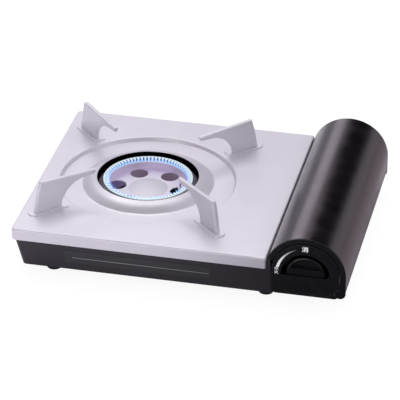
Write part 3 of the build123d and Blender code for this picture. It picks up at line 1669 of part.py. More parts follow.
with BuildPart() as heat_panel:
    reach = heat_panel_reach_end - heat_panel_reach_start
    strip_back = heat_panel_y + heat_panel_width / 2
    strip_foot_z = floor_top + heat_panel_sheet / 2
    with BuildSketch(upright_plane(strip_back)):
        with BuildLine():
            Polyline(
                (heat_panel_start + heat_panel_foot, strip_foot_z),
                (heat_panel_start, strip_foot_z),
                (heat_panel_start, heat_panel_z),
                (
                    cover_x - heat_panel_middle * cos(radians(heat_panel_reach_start)),
                    heat_panel_z,
                ),
            )
            CenterArc(cartridge_centre, heat_panel_middle, 180 + heat_panel_reach_start, reach)
        trace(line_width=heat_panel_sheet)
    extrude(amount=heat_panel_width)
heat_panel.part.label = "heat_panel"
export_step(heat_panel.part, "parts/heat_panel.step")

# ---------------------------------------------------------------------------
# Spark electrode and igniter lead
# ---------------------------------------------------------------------------

spark_x = burner_x + electrode_x
spark_y = burner_y + electrode_y
spark_centre = (spark_x, spark_y)
insulator_bottom = chamber_bottom - burner_bracket_sheet

with BuildPart() as spark_electrode:
    with BuildLine():
        FilletPolyline(
            (spark_x, spark_y, electrode_bottom),
            (spark_x, spark_y, electrode_top),
            (spark_x + electrode_hook, spark_y, electrode_top),
            radius=electrode_bend,
        )
    with BuildSketch(Plane.XY.offset(electrode_bottom)):
        with Locations(spark_centre):
            Circle(electrode_radius)
    sweep()
spark_electrode.part.label = "spark_electrode"
export_step(spark_electrode.part, "parts/spark_electrode.step")

with BuildPart() as electrode_insulator:
    with BuildSketch(Plane.XY.offset(insulator_bottom)):
        with Locations(spark_centre):
            Circle(insulator_radius)
    extrude(amount=insulator_top - insulator_bottom)
    fillet(electrode_insulator.faces().sort_by(Axis.Z)[-1].edges(), insulator_edge)
    with BuildSketch(Plane.XY.offset(insulator_bottom)):
        with Locations(spark_centre):
            Circle(insulator_flange_radius)
    extrude(amount=insulator_flange_height)
    with BuildSketch(Plane.XY.offset(insulator_bottom)):
        with Locations(spark_centre):
            Circle(electrode_radius + electrode_fit)
    extrude(amount=insulator_top - insulator_bottom, mode=Mode.SUBTRACT)
electrode_insulator.part.label = "electrode_insulator"
export_step(electrode_insulator.part, "parts/electrode_insulator.step")

with BuildPart() as electrode_bracket:
    bracket_reach = burner_leg_radius - electrode_x + insulator_flange_radius
    with BuildSketch(Plane.XY.offset(insulator_bottom - electrode_bracket_sheet)):
        with Locations((spark_x + bracket_reach / 2 - insulator_flange_radius, spark_y)):
            Rectangle(bracket_reach, 2 * insulator_flange_radius)
        with Locations(spark_centre):
            Circle(insulator_flange_radius)
            Circle(electrode_radius + 3 * electrode_fit, mode=Mode.SUBTRACT)
    extrude(amount=electrode_bracket_sheet)
electrode_bracket.part.label = "electrode_bracket"
export_step(electrode_bracket.part, "parts/electrode_bracket.step")

with BuildPart() as electrode_boot:
    with BuildSketch(Plane.XY.offset(lead_height - boot_height / 2)):
        with Locations(spark_centre):
            RectangleRounded(boot_size, boot_size, boot_corner)
            Circle(electrode_radius + electrode_fit, mode=Mode.SUBTRACT)
    extrude(amount=boot_height)
electrode_boot.part.label = "electrode_boot"
export_step(electrode_boot.part, "parts/electrode_boot.step")

lead_end = (spark_x, spark_y - boot_size / 2, lead_height)
slope_x, slope_y = lead_slope_from_igniter
lead_route = [
    (igniter_left, igniter_y, knob_z),
    (igniter_left - lead_first_run, igniter_y, knob_z),
    (igniter_left + slope_x, igniter_y + slope_y, lead_slope_height),
    (burner_x + lead_far_turn[0], burner_y + lead_far_turn[1], lead_height),
    (burner_x + lead_near_turn[0], burner_y + lead_near_turn[1], lead_height),
    (lead_end[0], lead_end[1] - lead_last_run, lead_height),
    lead_end,
]


def lead_radii(route):
    """Bend radius at each inner point: as large as the shorter run beside it allows."""
    points = [Vector(*point) for point in route]
    radii = []
    for before, here, after in zip(points, points[1:], points[2:]):
        shorter = min((here - before).length, (after - here).length)
        turn = (here - before).get_angle(after - here)
        radii.append(0.45 * shorter / tan(radians(turn) / 2))
    return radii


bend_radii = lead_radii(lead_route)
print("igniter lead bend radii:", [round(radius, 1) for radius in bend_radii])

with BuildPart() as igniter_lead:
    with BuildLine():
        FilletPolyline(*lead_route, radius=bend_radii)
    with BuildSketch(Plane(origin=lead_route[0], x_dir=(0, 1, 0), z_dir=(-1, 0, 0))):
        Circle(lead_radius)
    sweep()
igniter_lead.part.label = "igniter_lead"
export_step(igniter_lead.part, "parts/igniter_lead.step")

with BuildPart() as lead_clips:
    for start, end in (lead_route[3:5], lead_route[4:6]):
        along = Vector(end[0] - start[0], end[1] - start[1], 0)
        middle_point = ((start[0] + end[0]) / 2, (start[1] + end[1]) / 2, floor_top)
        clip_plane = Plane(origin=middle_point, x_dir=along, z_dir=(0, 0, 1))
        with BuildSketch(clip_plane):
            RectangleRounded(clip_length, clip_width, clip_corner)
        extrude(amount=lead_height + clip_above_lead - floor_top)
        bore_plane = Plane(
            origin=(middle_point[0], middle_point[1], lead_height), x_dir=(0, 0, 1), z_dir=along
        )
        with BuildSketch(bore_plane):
            Circle(lead_radius + screw_fit)
        extrude(amount=clip_length, both=True, mode=Mode.SUBTRACT)
lead_clips.part.label = "lead_clips"
export_step(lead_clips.part, "parts/lead_clips.step")
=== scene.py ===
import json
from math import cos, pi, radians, sin

import bmesh
import bpy
from mathutils import Matrix, Vector


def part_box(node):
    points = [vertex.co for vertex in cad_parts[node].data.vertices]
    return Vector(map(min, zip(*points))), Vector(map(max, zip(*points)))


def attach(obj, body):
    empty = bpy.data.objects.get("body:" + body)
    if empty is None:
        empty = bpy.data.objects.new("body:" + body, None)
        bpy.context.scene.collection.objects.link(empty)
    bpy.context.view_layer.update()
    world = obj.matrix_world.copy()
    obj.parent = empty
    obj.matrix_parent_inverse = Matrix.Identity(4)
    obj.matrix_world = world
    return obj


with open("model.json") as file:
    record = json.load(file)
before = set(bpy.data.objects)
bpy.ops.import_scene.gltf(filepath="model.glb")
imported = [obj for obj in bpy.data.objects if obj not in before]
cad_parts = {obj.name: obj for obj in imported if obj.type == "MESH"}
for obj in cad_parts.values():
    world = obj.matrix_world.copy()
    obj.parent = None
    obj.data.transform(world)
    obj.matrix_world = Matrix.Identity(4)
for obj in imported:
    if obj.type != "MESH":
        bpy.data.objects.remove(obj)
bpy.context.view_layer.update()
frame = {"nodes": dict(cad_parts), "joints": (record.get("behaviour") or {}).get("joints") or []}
nodes = frame["nodes"]
scene = bpy.context.scene


# ---------------------------------------------------------------------------
# Places from the CAD, in metres
# ---------------------------------------------------------------------------

bowl_low, bowl_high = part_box("burner_bowl")
BURNER = Vector(((bowl_low.x + bowl_high.x) / 2, (bowl_low.y + bowl_high.y) / 2, 0))
BOWL_DOME = 0.0207  # radius of the dome in the middle of the bowl's floor

RING_WIDTH = 0.0049
PORT_DEPTH = 0.0033  # how far each port reaches into the ring from its bore
RING_OUTER = (bowl_high.x - bowl_low.x) / 2
RING_BORE = RING_OUTER - RING_WIDTH
RING_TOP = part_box("burner_ring")[1].z
PORT_BACK = RING_BORE + PORT_DEPTH

PANEL_RECESS = 0.0006  # how far the control panel's face lies behind its rim
PANEL_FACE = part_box("control_panel")[0].y + PANEL_RECESS
KNOB = Vector(next(joint["pos_m"] for joint in frame["joints"] if joint["name"] == "knob_turn"))


# ---------------------------------------------------------------------------
# Camera
# ---------------------------------------------------------------------------

AZIMUTH = radians(12.81)
ELEVATION = radians(29.6)
DISTANCE = 2.64038
TARGET = Vector((0.00799, -0.09318, 0.08676))
SENSOR = 36.0  # sensor and lens in millimetres
LENS = 238.05
SHIFT_X = 0.01825
SHIFT_Y = -0.00045
VIEW_END = 20.0
VIEW = Vector((
    sin(AZIMUTH) * cos(ELEVATION),
    -cos(AZIMUTH) * cos(ELEVATION),
    sin(ELEVATION),
))

camera_data = bpy.data.cameras.new("camera")
camera_data.sensor_width = SENSOR
camera_data.lens = LENS
camera_data.shift_x = SHIFT_X
camera_data.shift_y = SHIFT_Y
camera_data.clip_end = VIEW_END
camera = bpy.data.objects.new("camera", camera_data)
camera.location = TARGET + VIEW * DISTANCE
camera.rotation_euler = (-VIEW).to_track_quat("-Z", "Y").to_euler()
scene.collection.objects.link(camera)
scene.camera = camera


# ---------------------------------------------------------------------------
# Node helpers
# ---------------------------------------------------------------------------

NOISE_ROUGHNESS = 0.55
NOISE_SPREAD = 0.20  # noise seldom strays further than this from a half
BEVEL_SAMPLES = 6


class Nodes:
    """Short calls for the nodes of one tree, a material's or the world's."""

    def __init__(self, owner):
        owner.use_nodes = True
        self.tree = owner.node_tree
        self.tree.nodes.clear()

    def node(self, kind, **settings):
        made = self.tree.nodes.new(kind)
        for key, value in settings.items():
            setattr(made, key, value)
        return made

    def link(self, source, target):
        self.tree.links.new(source, target)

    def put(self, node, socket, value):
        """Links or sets an input. A tuple is a colour without its alpha."""
        if isinstance(value, bpy.types.NodeSocket):
            self.link(value, node.inputs[socket])
        elif isinstance(value, tuple):
            node.inputs[socket].default_value = (*value, 1.0)
        else:
            node.inputs[socket].default_value = value

    def math(self, operation, a, b=0.0, clamp=False):
        made = self.node("ShaderNodeMath", operation=operation, use_clamp=clamp)
        self.put(made, 0, a)
        self.put(made, 1, b)
        return made.outputs[0]

    def product(self, first, *others):
        for other in others:
            first = self.math("MULTIPLY", first, other)
        return first

    def ramp(self, value, low, high, to_low=0.0, to_high=1.0):
        """Value between low and high, mapped and clamped to the range given."""
        made = self.node("ShaderNodeMapRange", clamp=True)
        self.put(made, 0, value)
        for index, number in enumerate((low, high, to_low, to_high), start=1):
            made.inputs[index].default_value = number
        return made.outputs[0]

    def past(self, value, edge, soft):
        """1 where the value is past the edge, 0 before it, soft each side."""
        return self.ramp(value, edge - soft, edge + soft)

    def before(self, value, edge, soft):
        """1 where the value is before the edge, 0 past it, soft each side."""
        return self.ramp(value, edge - soft, edge + soft, 1.0, 0.0)

    def blend(self, fac, a, b):
        """Number a where fac is 0 and b where it is 1."""
        made = self.node("ShaderNodeMix", data_type="FLOAT")
        for index, value in ((0, fac), (2, a), (3, b)):
            self.put(made, index, value)
        return made.outputs[0]

    def mix(self, fac, a, b):
        """Colour a where fac is 0 and b where it is 1."""
        made = self.node("ShaderNodeMix", data_type="RGBA")
        for index, value in ((0, fac), (6, a), (7, b)):
            self.put(made, index, value)
        return made.outputs[2]


class Shader(Nodes):
    """A material with one principled shader, painted by place on the object."""

    def __init__(self, name):
        self.material = bpy.data.materials.new(name)
        super().__init__(self.material)
        self.output = self.node("ShaderNodeOutputMaterial")
        self.bsdf = self.node("ShaderNodeBsdfPrincipled")
        self.link(self.bsdf.outputs[0], self.output.inputs["Surface"])
        self.place = self.node("ShaderNodeTexCoord").outputs["Object"]

    def set(self, **values):
        """Sets sockets of the principled shader, by name with _ for a space."""
        for key, value in values.items():
            self.put(self.bsdf, key.replace("_", " "), value)

    def scaled(self, scale):
        """The place, stretched by a scale along each axis."""
        mapping = self.node("ShaderNodeMapping")
        self.link(self.place, mapping.inputs["Vector"])
        mapping.inputs["Scale"].default_value = scale
        return mapping.outputs[0]

    def noise(self, size, detail=3.0, place=None):
        """Noise from 0 to 1 whose features are about size metres across."""
        made = self.node("ShaderNodeTexNoise")
        self.link(place or self.place, made.inputs["Vector"])
        made.inputs["Scale"].default_value = 1.0 / size
        made.inputs["Detail"].default_value = detail
        made.inputs["Roughness"].default_value = NOISE_ROUGHNESS
        return made.outputs["Fac"]

    def stretch(self, noise, to_low=0.0, to_high=1.0, spread=NOISE_SPREAD):
        """Noise within the spread each side of a half, mapped to the range given."""
        return self.ramp(noise, 0.5 - spread, 0.5 + spread, to_low, to_high)

    def bump(self, height, distance, normal=None):
        made = self.node("ShaderNodeBump")
        made.inputs["Distance"].default_value = distance
        made.inputs["Strength"].default_value = 1.0
        self.link(height, made.inputs["Height"])
        if normal:
            self.link(normal, made.inputs["Normal"])
        return made.outputs[0]

    def rounded(self, radius):
        """A normal that rounds sharp edges by that radius."""
        made = self.node("ShaderNodeBevel", samples=BEVEL_SAMPLES)
        made.inputs["Radius"].default_value = radius
        return made.outputs[0]

    def axes(self):
        made = self.node("ShaderNodeSeparateXYZ")
        self.link(self.place, made.inputs[0])
        return made.outputs

    def radius(self, middle):
        """Distance from the upright line through a point."""
        made = self.node("ShaderNodeVectorMath", operation="MULTIPLY_ADD")
        self.link(self.place, made.inputs[0])
        made.inputs[1].default_value = (1, 1, 0)
        made.inputs[2].default_value = (-middle.x, -middle.y, 0)
        length = self.node("ShaderNodeVectorMath", operation="LENGTH")
        self.link(made.outputs[0], length.inputs[0])
        return length.outputs["Value"]


def dress(shader, *names):
    """Gives CAD nodes a material, in every slot that they have."""
    for name in names:
        mesh = nodes[name].data
        if not mesh.materials:
            mesh.materials.append(shader.material)
        for index in range(len(mesh.materials)):
            mesh.materials[index] = shader.material


# ---------------------------------------------------------------------------
# Kinds of finish
# ---------------------------------------------------------------------------

EDGE = 0.0003  # radius that rounds the edges of sheet and mouldings
METAL_EDGE = 0.0002
GLOSSY_LIFT = 0.000003  # height of the grain on a smooth moulding
CLOSE_SPREAD = 0.15  # a narrower spread of noise, for a sharper pattern
CLOUD_SPREAD = 0.18


def enamel(name, colour, darker, rough=0.34, grain=0.0009, lift=0.00002, metallic=0.0, coat=0.0):
    """Baked enamel or powder coat: fine orange peel, a faint mottle and flakes."""
    mottle_size = 0.06
    flake_size = 0.0005
    smear_size = 0.02
    s = Shader(name)
    mottle = s.stretch(s.noise(mottle_size, 4.0))
    flakes = s.stretch(s.noise(flake_size, 1.0), -0.25, 0.25, CLOSE_SPREAD)
    s.set(Base_Color=s.mix(s.math("ADD", mottle, flakes, clamp=True), colour, darker))
    s.set(Roughness=s.stretch(s.noise(smear_size), rough - 0.03, rough + 0.04))
    s.set(Metallic=metallic, Coat_Weight=coat, Coat_Roughness=0.15)
    s.set(Normal=s.bump(s.noise(grain, 2.0), lift, s.rounded(EDGE)))
    return s


def plated(name, colour, darker, rough, metallic=1.0, edge=METAL_EDGE, streak=(1, 1, 1)):
    """Plated or bare metal: cloudy colour with fine streaks along the sheet."""
    cloud_size = 0.012
    streak_size = 0.0012
    streak_lift = 0.00001
    s = Shader(name)
    cloud = s.stretch(s.noise(cloud_size, 5.0), spread=CLOUD_SPREAD)
    streaks = s.noise(streak_size, 3.0, s.scaled(streak))
    s.set(Base_Color=s.mix(cloud, colour, darker), Metallic=metallic)
    s.set(Roughness=s.stretch(streaks, rough - 0.06, rough + 0.08))
    s.set(Normal=s.bump(streaks, streak_lift, s.rounded(edge)))
    return s


def moulding(name, colour, rough, grain=0.0006, lift=0.00002, level=0.5):
    """Moulded plastic, rubber, ceramic or ink, with a fine grain."""
    bloom_size = 0.01
    smear_size = 0.006
    s = Shader(name)
    bloom = s.stretch(s.noise(bloom_size, 4.0), spread=CLOSE_SPREAD)
    lighter = tuple(min(1.0, part * 1.35 + 0.002) for part in colour)
    s.set(Base_Color=s.mix(bloom, colour, lighter), Specular_IOR_Level=level)
    s.set(Roughness=s.stretch(s.noise(smear_size), rough - 0.04, rough + 0.06))
    s.set(Normal=s.bump(s.noise(grain, 2.0), lift, s.rounded(EDGE)))
    return s


# ---------------------------------------------------------------------------
# Plain finishes and the nodes that they cover
# ---------------------------------------------------------------------------

plate_paint = enamel("plate_paint", (0.765, 0.720, 0.785), (0.735, 0.690, 0.755),
                     rough=0.42, metallic=0.5)
support_paint = enamel("support_paint", (0.79, 0.755, 0.82), (0.70, 0.665, 0.73),
                       rough=0.36, grain=0.0010, lift=0.00005, metallic=0.35)
case_paint = enamel("case_paint", (0.024, 0.020, 0.027), (0.018, 0.015, 0.021),
                    rough=0.38, grain=0.0006, lift=0.00004)
bay_paint = enamel("bay_paint", (0.016, 0.016, 0.018), (0.012, 0.012, 0.014), rough=0.45)
cover_paint = enamel("cover_paint", (0.132, 0.108, 0.124), (0.122, 0.100, 0.115),
                     rough=0.22, grain=0.0012, lift=0.000006, metallic=1.0)
can_paint = enamel("can_paint", (0.70, 0.70, 0.72), (0.66, 0.66, 0.69), rough=0.22, coat=0.3)

dress(plate_paint, "top_plate")
dress(support_paint, "pan_support_back_right", "pan_support_back_left",
      "pan_support_front_left", "pan_support_front_right")
dress(case_paint, "lower_case")
dress(bay_paint, "bay_tray")
dress(cover_paint, "cover_shell")
dress(can_paint, "cartridge_can")

end_plastic = moulding("end_plastic", (0.0050, 0.0046, 0.0060), 0.22, lift=0.000006, level=0.35)
knob_plastic = moulding("knob_plastic", (0.0035, 0.0033, 0.0045), 0.20, lift=GLOSSY_LIFT, level=0.35)
igniter_plastic = moulding("igniter_plastic", (0.016, 0.016, 0.018), 0.5)
foot_rubber = moulding("foot_rubber", (0.012, 0.012, 0.013), 0.62, grain=0.0004, lift=0.00004)
lead_rubber = moulding("lead_rubber", (0.06, 0.06, 0.065), 0.5)
nylon = moulding("nylon", (0.62, 0.61, 0.57), 0.45)
ceramic = moulding("white_ceramic", (0.70, 0.69, 0.66), 0.18, lift=GLOSSY_LIFT)

dress(end_plastic, "cover_bezel", "cover_cap", "control_panel")
dress(knob_plastic, "control_knob")
dress(igniter_plastic, "piezo_igniter")
dress(foot_rubber, "foot_front_left", "foot_back_left", "foot_front_right", "foot_back_right",
      "cover_bumpers", "inlet_seal")
dress(lead_rubber, "electrode_boot", "igniter_lead")
dress(nylon, "igniter_cam", "piezo_plunger", "lead_clips")
dress(ceramic, "electrode_insulator")

zinc = plated("plated_steel", (0.50, 0.51, 0.53), (0.42, 0.43, 0.46), 0.34)
screw_steel = plated("screw_steel", (0.62, 0.62, 0.64), (0.52, 0.52, 0.55), 0.26)
tinplate = plated("can_tinplate", (0.72, 0.72, 0.73), (0.64, 0.64, 0.66), 0.2)
cast_zinc = plated("cast_zinc", (0.42, 0.42, 0.44), (0.34, 0.34, 0.36), 0.48, edge=0.0004)
ferrite = plated("magnet_ferrite", (0.05, 0.05, 0.052), (0.035, 0.035, 0.037), 0.6, metallic=0.4)
tube_steel = plated("tube_steel", (0.48, 0.48, 0.5), (0.40, 0.40, 0.42), 0.3, streak=(0.2, 1, 1))
jet_brass = plated("jet_brass", (0.66, 0.46, 0.17), (0.56, 0.38, 0.13), 0.24)
pipe_brass = plated("pipe_brass", (0.66, 0.38, 0.22), (0.52, 0.28, 0.16), 0.28)
aluminium = plated("panel_aluminium", (0.66, 0.66, 0.68), (0.58, 0.58, 0.60), 0.35,
                   streak=(0.08, 1, 1))

dress(zinc, "plate_posts", "cartridge_cradle", "hinge_bracket_front", "hinge_bracket_back",
      "regulator_bracket", "burner_bracket", "jet_bracket", "electrode_bracket")
dress(screw_steel, "case_screws", "hinge_rod", "knob_spindle", "panel_screws",
      "regulator_screws", "cartridge_locator", "burner_screws", "spark_electrode")
dress(tinplate, "cartridge_dome", "cartridge_valve")
dress(cast_zinc, "regulator_body", "regulator_cap")
dress(ferrite, "magnet_ring")
dress(tube_steel, "mixing_tube")
dress(jet_brass, "gas_jet")
dress(pipe_brass, "gas_pipe")
dress(aluminium, "heat_panel")


# ---------------------------------------------------------------------------
# Finishes with a pattern of their own
# ---------------------------------------------------------------------------

FINE_GRAIN = 0.0008
FINE_LIFT = 0.00001


def strip_foil():
    """Dark satin foil with a thin silver line along it."""
    line_bottom = 0.02435
    line_top = 0.02495
    line_from_left = 0.0075
    line_from_right = 0.0021
    side_soft = 0.00005
    end_soft = 0.0001
    smear_size = 0.004
    strip_low, strip_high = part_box("front_strip")
    s = Shader("strip_foil")
    x, _, z = s.axes()
    line = s.product(
        s.past(z, line_bottom, side_soft),
        s.before(z, line_top, side_soft),
        s.past(x, strip_low.x + line_from_left, end_soft),
        s.before(x, strip_high.x - line_from_right, end_soft),
    )
    s.set(Base_Color=s.mix(line, (0.030, 0.028, 0.032), (0.42, 0.41, 0.43)), Metallic=line)
    s.set(Roughness=s.stretch(s.noise(smear_size), 0.28, 0.36))
    s.set(Normal=s.bump(s.noise(FINE_GRAIN), FINE_LIFT))
    return s


def burner_body_paint():
    """Black enamel that shows the flames' light inside its mouth, bluer on the left."""
    mouth = 0.0465
    mouth_soft = 0.0005
    blue_start = BURNER.x - 0.0235
    blue_end = BURNER.x - 0.0435
    glow = 0.14
    s = enamel("burner_black", (0.010, 0.009, 0.012), (0.018, 0.013, 0.018), rough=0.5)
    inside = s.before(s.radius(BURNER), mouth, mouth_soft)
    left = s.ramp(s.axes()[0], blue_start, blue_end)
    s.set(Base_Color=s.mix(inside, (0.130, 0.100, 0.150), (0.30, 0.24, 0.30)))
    s.set(Emission_Color=s.mix(left, (0.66, 0.48, 0.70), (0.40, 0.32, 1.0)))
    s.set(Emission_Strength=s.math("MULTIPLY", inside, glow))
    return s


def bowl_steel():
    """Stainless steel, darker and more violet towards its wall as painted shade under the ring, and
    lit by the flames towards its wall.
    """
    shade_start, shade_end = 0.024, 0.043
    glow_start, glow_end = 0.026, 0.044
    glow = 0.17
    dome_soft = 0.0012
    cloud_size = 0.012
    smear_size = 0.002
    s = Shader("bowl_steel")
    radius = s.radius(BURNER)
    cloud = s.stretch(s.noise(cloud_size, 4.0))
    dome = s.ramp(radius, BOWL_DOME, BOWL_DOME - dome_soft)
    # Painted shade: the bowl turns darker and more violet towards its wall, under the ring.
    wall_shade = s.ramp(radius, shade_start, shade_end)
    base = s.mix(cloud, (0.78, 0.72, 0.79), (0.70, 0.64, 0.71))
    # Painted shade: the dome is painted darker than the floor around it.
    base = s.mix(dome, base, (0.66, 0.62, 0.67))
    s.set(Base_Color=s.mix(wall_shade, base, (0.56, 0.47, 0.58)), Metallic=0.25)
    s.set(Emission_Color=(0.80, 0.66, 1.0))
    s.set(Emission_Strength=s.ramp(radius, glow_start, glow_end, 0.0, glow))
    s.set(Roughness=s.stretch(s.noise(smear_size), 0.42, 0.52))
    s.set(Normal=s.bump(s.noise(FINE_GRAIN), FINE_LIFT, s.rounded(EDGE)))
    return s


def ring_steel():
    """Pale steel with the flames' cyan light painted into its colour and glow, painted dark blue
    inside its ports as shade tinted by the flames.
    """
    glow_end = 0.0420
    outer_glow, bore_glow = 0.03, 0.22
    soft = 0.0002
    shade = 0.0016  # how far below the ring's top its ports are fully dark
    cloud_size = 0.006
    smear_size = 0.001
    grain = 0.0006
    s = Shader("ring_steel")
    radius = s.radius(BURNER)
    height = s.axes()[2]
    cloud = s.stretch(s.noise(cloud_size, 4.0))
    below_top = s.ramp(height, RING_TOP - shade, RING_TOP - soft, 1.0, 0.0)
    before_back = s.ramp(radius, PORT_BACK + soft, PORT_BACK)
    past_bore = s.ramp(radius, RING_BORE + soft, RING_BORE + 3 * soft)
    # Painted shade: the ports are dark blue below the ring's top, tinted by the flames' light.
    port = s.product(below_top, before_back, past_bore)
    # Painted light: the steel's pale cyan stands in for the flames' light on it.
    base = s.mix(cloud, (0.82, 0.90, 0.93), (0.76, 0.84, 0.88))
    s.set(Base_Color=s.mix(port, base, (0.05, 0.12, 0.34)), Metallic=0.2)
    s.set(Emission_Color=s.mix(port, (0.50, 0.86, 1.0), (0.10, 0.30, 1.0)))
    s.set(Emission_Strength=s.ramp(radius, RING_OUTER, glow_end, outer_glow, bore_glow))
    s.set(Roughness=s.stretch(s.noise(smear_size), 0.3, 0.4))
    s.set(Normal=s.bump(s.noise(grain), FINE_LIFT, s.rounded(METAL_EDGE)))
    return s


FLAME_DROP = 0.0027  # how far below the ring's top the flames start
FLAME_FOOT = RING_TOP - FLAME_DROP


def gas_flame():
    """Blue petals that thin out towards their tips, paler and fuller at the front."""
    front_start = BURNER.y + 0.005
    front_end = BURNER.y - 0.015
    tip = FLAME_FOOT + 0.0045
    soft = 0.0005
    foot_glow, tip_glow = 1.3, 0.6
    foot_alpha, tip_alpha = 0.8, 0.15
    back_alpha = 0.45
    s = Shader("gas_flame")
    _, y, z = s.axes()
    front = s.ramp(y, front_start, front_end)
    height = s.ramp(z, FLAME_FOOT, tip - soft)
    root = s.mix(front, (0.16, 0.40, 1.0), (0.62, 0.86, 1.0))
    thin = s.ramp(z, FLAME_FOOT + soft, tip, foot_alpha, tip_alpha)
    s.set(Base_Color=(0.2, 0.45, 1.0), Roughness=0.6)
    s.set(Emission_Color=s.mix(height, root, (0.16, 0.34, 1.0)))
    s.set(Emission_Strength=s.ramp(z, FLAME_FOOT - soft, tip, foot_glow, tip_glow))
    s.set(Alpha=s.product(thin, s.ramp(front, 0.0, 1.0, back_alpha, 1.0)))
    return s


WHITE = (1.0, 1.0, 1.0)
INK_WHITE = (0.96, 0.96, 0.97)
INK_FADED = (0.10, 0.10, 0.11)


def panel_ink():
    """White printing on the control panel, with a painted glow that brightens it."""
    s = moulding("panel_ink", INK_WHITE, 0.45, lift=GLOSSY_LIFT)
    # Painted light: the printing glows though it is no lamp.
    s.set(Emission_Color=WHITE, Emission_Strength=0.25)
    return s


def crescent_ink():
    """White printing that fades upwards, towards the off mark, with a painted glow that fades with
    it.
    """
    fade_start = KNOB.z + 0.0145
    fade_end = KNOB.z + 0.0285
    glow = 0.22
    s = moulding("crescent_ink", INK_WHITE, 0.45, lift=GLOSSY_LIFT)
    fade = s.ramp(s.axes()[2], fade_start, fade_end)
    s.set(Base_Color=s.mix(fade, INK_WHITE, INK_FADED))
    # Painted light: the printing glows, less towards the off mark.
    s.set(Emission_Color=WHITE, Emission_Strength=s.ramp(fade, 0.0, 1.0, glow, 0.0))
    return s


dress(strip_foil(), "front_strip")
dress(burner_body_paint(), "burner_body")
dress(bowl_steel(), "burner_bowl")
dress(ring_steel(), "burner_ring")
flame = gas_flame()
ink = panel_ink()
fading_ink = crescent_ink()


# ---------------------------------------------------------------------------
# Piece helpers
# ---------------------------------------------------------------------------

def mount(name, data, shader, body):
    """Makes an object from a mesh, with one material, on its body."""
    data.materials.clear()
    data.materials.append(shader.material)
    made = bpy.data.objects.new(name, data)
    scene.collection.objects.link(made)
    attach(made, body)


def piece(name, mesh_maker, shader, body, smooth):
    """Makes an object from a bmesh and puts it on its body."""
    shape = bmesh.new()
    mesh_maker(shape)
    bmesh.ops.recalc_face_normals(shape, faces=shape.faces)
    data = bpy.data.meshes.new(name)
    shape.to_mesh(data)
    shape.free()
    for face in data.polygons:
        face.use_smooth = smooth
    mount(name, data, shader, body)


def join_rings(shape, first, second):
    """Faces between two closed rows of as many points."""
    for index in range(len(first)):
        after = (index + 1) % len(first)
        shape.faces.new((first[index], first[after], second[after], second[index]))


# ---------------------------------------------------------------------------
# Printing on the control panel
# ---------------------------------------------------------------------------

INK = 0.00008  # thickness of the printing
CRESCENT_START = 107.0  # angles in degrees about the knob, from the right
CRESCENT_END = 165.0
CRESCENT_RADIUS = 0.0304
CRESCENT_WIDTH = 0.0028
CRESCENT_TIP = 0.06  # share of the width that is left at the thin end
CRESCENT_SWELL = 0.6
CRESCENT_STEPS = 40
MARK_RESOLUTION = 3

# Where each mark's middle is from the knob's axis, its height, and how much
# bolder it is than the font.
OFF_RIGHT, OFF_UP = -0.0007, 0.0307
OFF_HEIGHT = 0.0070
OFF_BOLD = 0.00014
IGNITE_RIGHT, IGNITE_UP = -0.0291, 0.0060
LIGHT_UP = 0.0013
IGNITE_HEIGHT = 0.0044
IGNITE_BOLD = 0.00006


def panel_point(radius, angle, depth):
    """A point about the knob's axis, depth in front of the panel's face."""
    return Vector((
        KNOB.x + radius * cos(radians(angle)),
        PANEL_FACE - depth,
        KNOB.z + radius * sin(radians(angle)),
    ))


def crescent(shape):
    """A band that widens from the off mark to the ignition marks."""
    rows = []
    for step in range(CRESCENT_STEPS + 1):
        share = step / CRESCENT_STEPS
        angle = CRESCENT_START + share * (CRESCENT_END - CRESCENT_START)
        width = CRESCENT_WIDTH * (CRESCENT_TIP + (1 - CRESCENT_TIP) * share ** CRESCENT_SWELL)
        rows.append([
            shape.verts.new(panel_point(radius, angle, depth))
            for radius, depth in (
                (CRESCENT_RADIUS, 0.0),
                (CRESCENT_RADIUS, INK),
                (CRESCENT_RADIUS - width, INK),
                (CRESCENT_RADIUS - width, 0.0),
            )
        ])
    for first, second in zip(rows, rows[1:]):
        join_rings(shape, first, second)
    shape.faces.new(rows[0])
    shape.faces.new(rows[-1])


def mark(name, text, right, up, height, bold):
    """Generic lettering, with its middle right of and above the knob's axis."""
    curve = bpy.data.curves.new(name + "_curve", "FONT")
    curve.body = text
    curve.align_x = "CENTER"
    curve.align_y = "CENTER"
    curve.size = height
    curve.extrude = INK / 2
    curve.offset = bold
    curve.resolution_u = MARK_RESOLUTION
    text_object = bpy.data.objects.new(name + "_text", curve)
    scene.collection.objects.link(text_object)
    bpy.context.view_layer.update()
    data = bpy.data.meshes.new_from_object(text_object)
    bpy.data.objects.remove(text_object)
    data.name = name

    xs = [vertex.co.x for vertex in data.vertices]
    ys = [vertex.co.y for vertex in data.vertices]
    middle = Vector(((min(xs) + max(xs)) / 2, (min(ys) + max(ys)) / 2, 0))
    upright = Matrix.Rotation(pi / 2, 4, "X")
    place = Matrix.Translation((KNOB.x + right, PANEL_FACE - INK / 2, KNOB.z + up))
    data.transform(place @ upright @ Matrix.Translation(-middle))
    mount(name, data, ink, "base")


piece("panel_crescent", crescent, fading_ink, "base", smooth=False)
mark("panel_off_mark", "消", OFF_RIGHT, OFF_UP, OFF_HEIGHT, OFF_BOLD)
mark("panel_ignite_mark", "点", IGNITE_RIGHT, IGNITE_UP, IGNITE_HEIGHT, IGNITE_BOLD)
mark("panel_light_mark", "火", IGNITE_RIGHT, LIGHT_UP, IGNITE_HEIGHT, IGNITE_BOLD)


# ---------------------------------------------------------------------------
# Flames
# ---------------------------------------------------------------------------

PORTS = 72
FLAME_START = RING_BORE + 0.0005  # radius at which the flames leave the ports
FLAME_LEAN_IN = 0.75
FLAME_LEAN_UP = 0.66
FLAME_LENGTH = 0.0034
FLAME_FLICKER = 0.0014
FLICKER_TURN = 2.4  # radians of the flicker's wave from port to port
FLAME_WIDTH = 0.00062  # half the width at the port
FLAME_TAPER = 0.7
FLAME_SWELL = 0.6
FLAME_ROWS = 5
FLAME_SIDES = 8


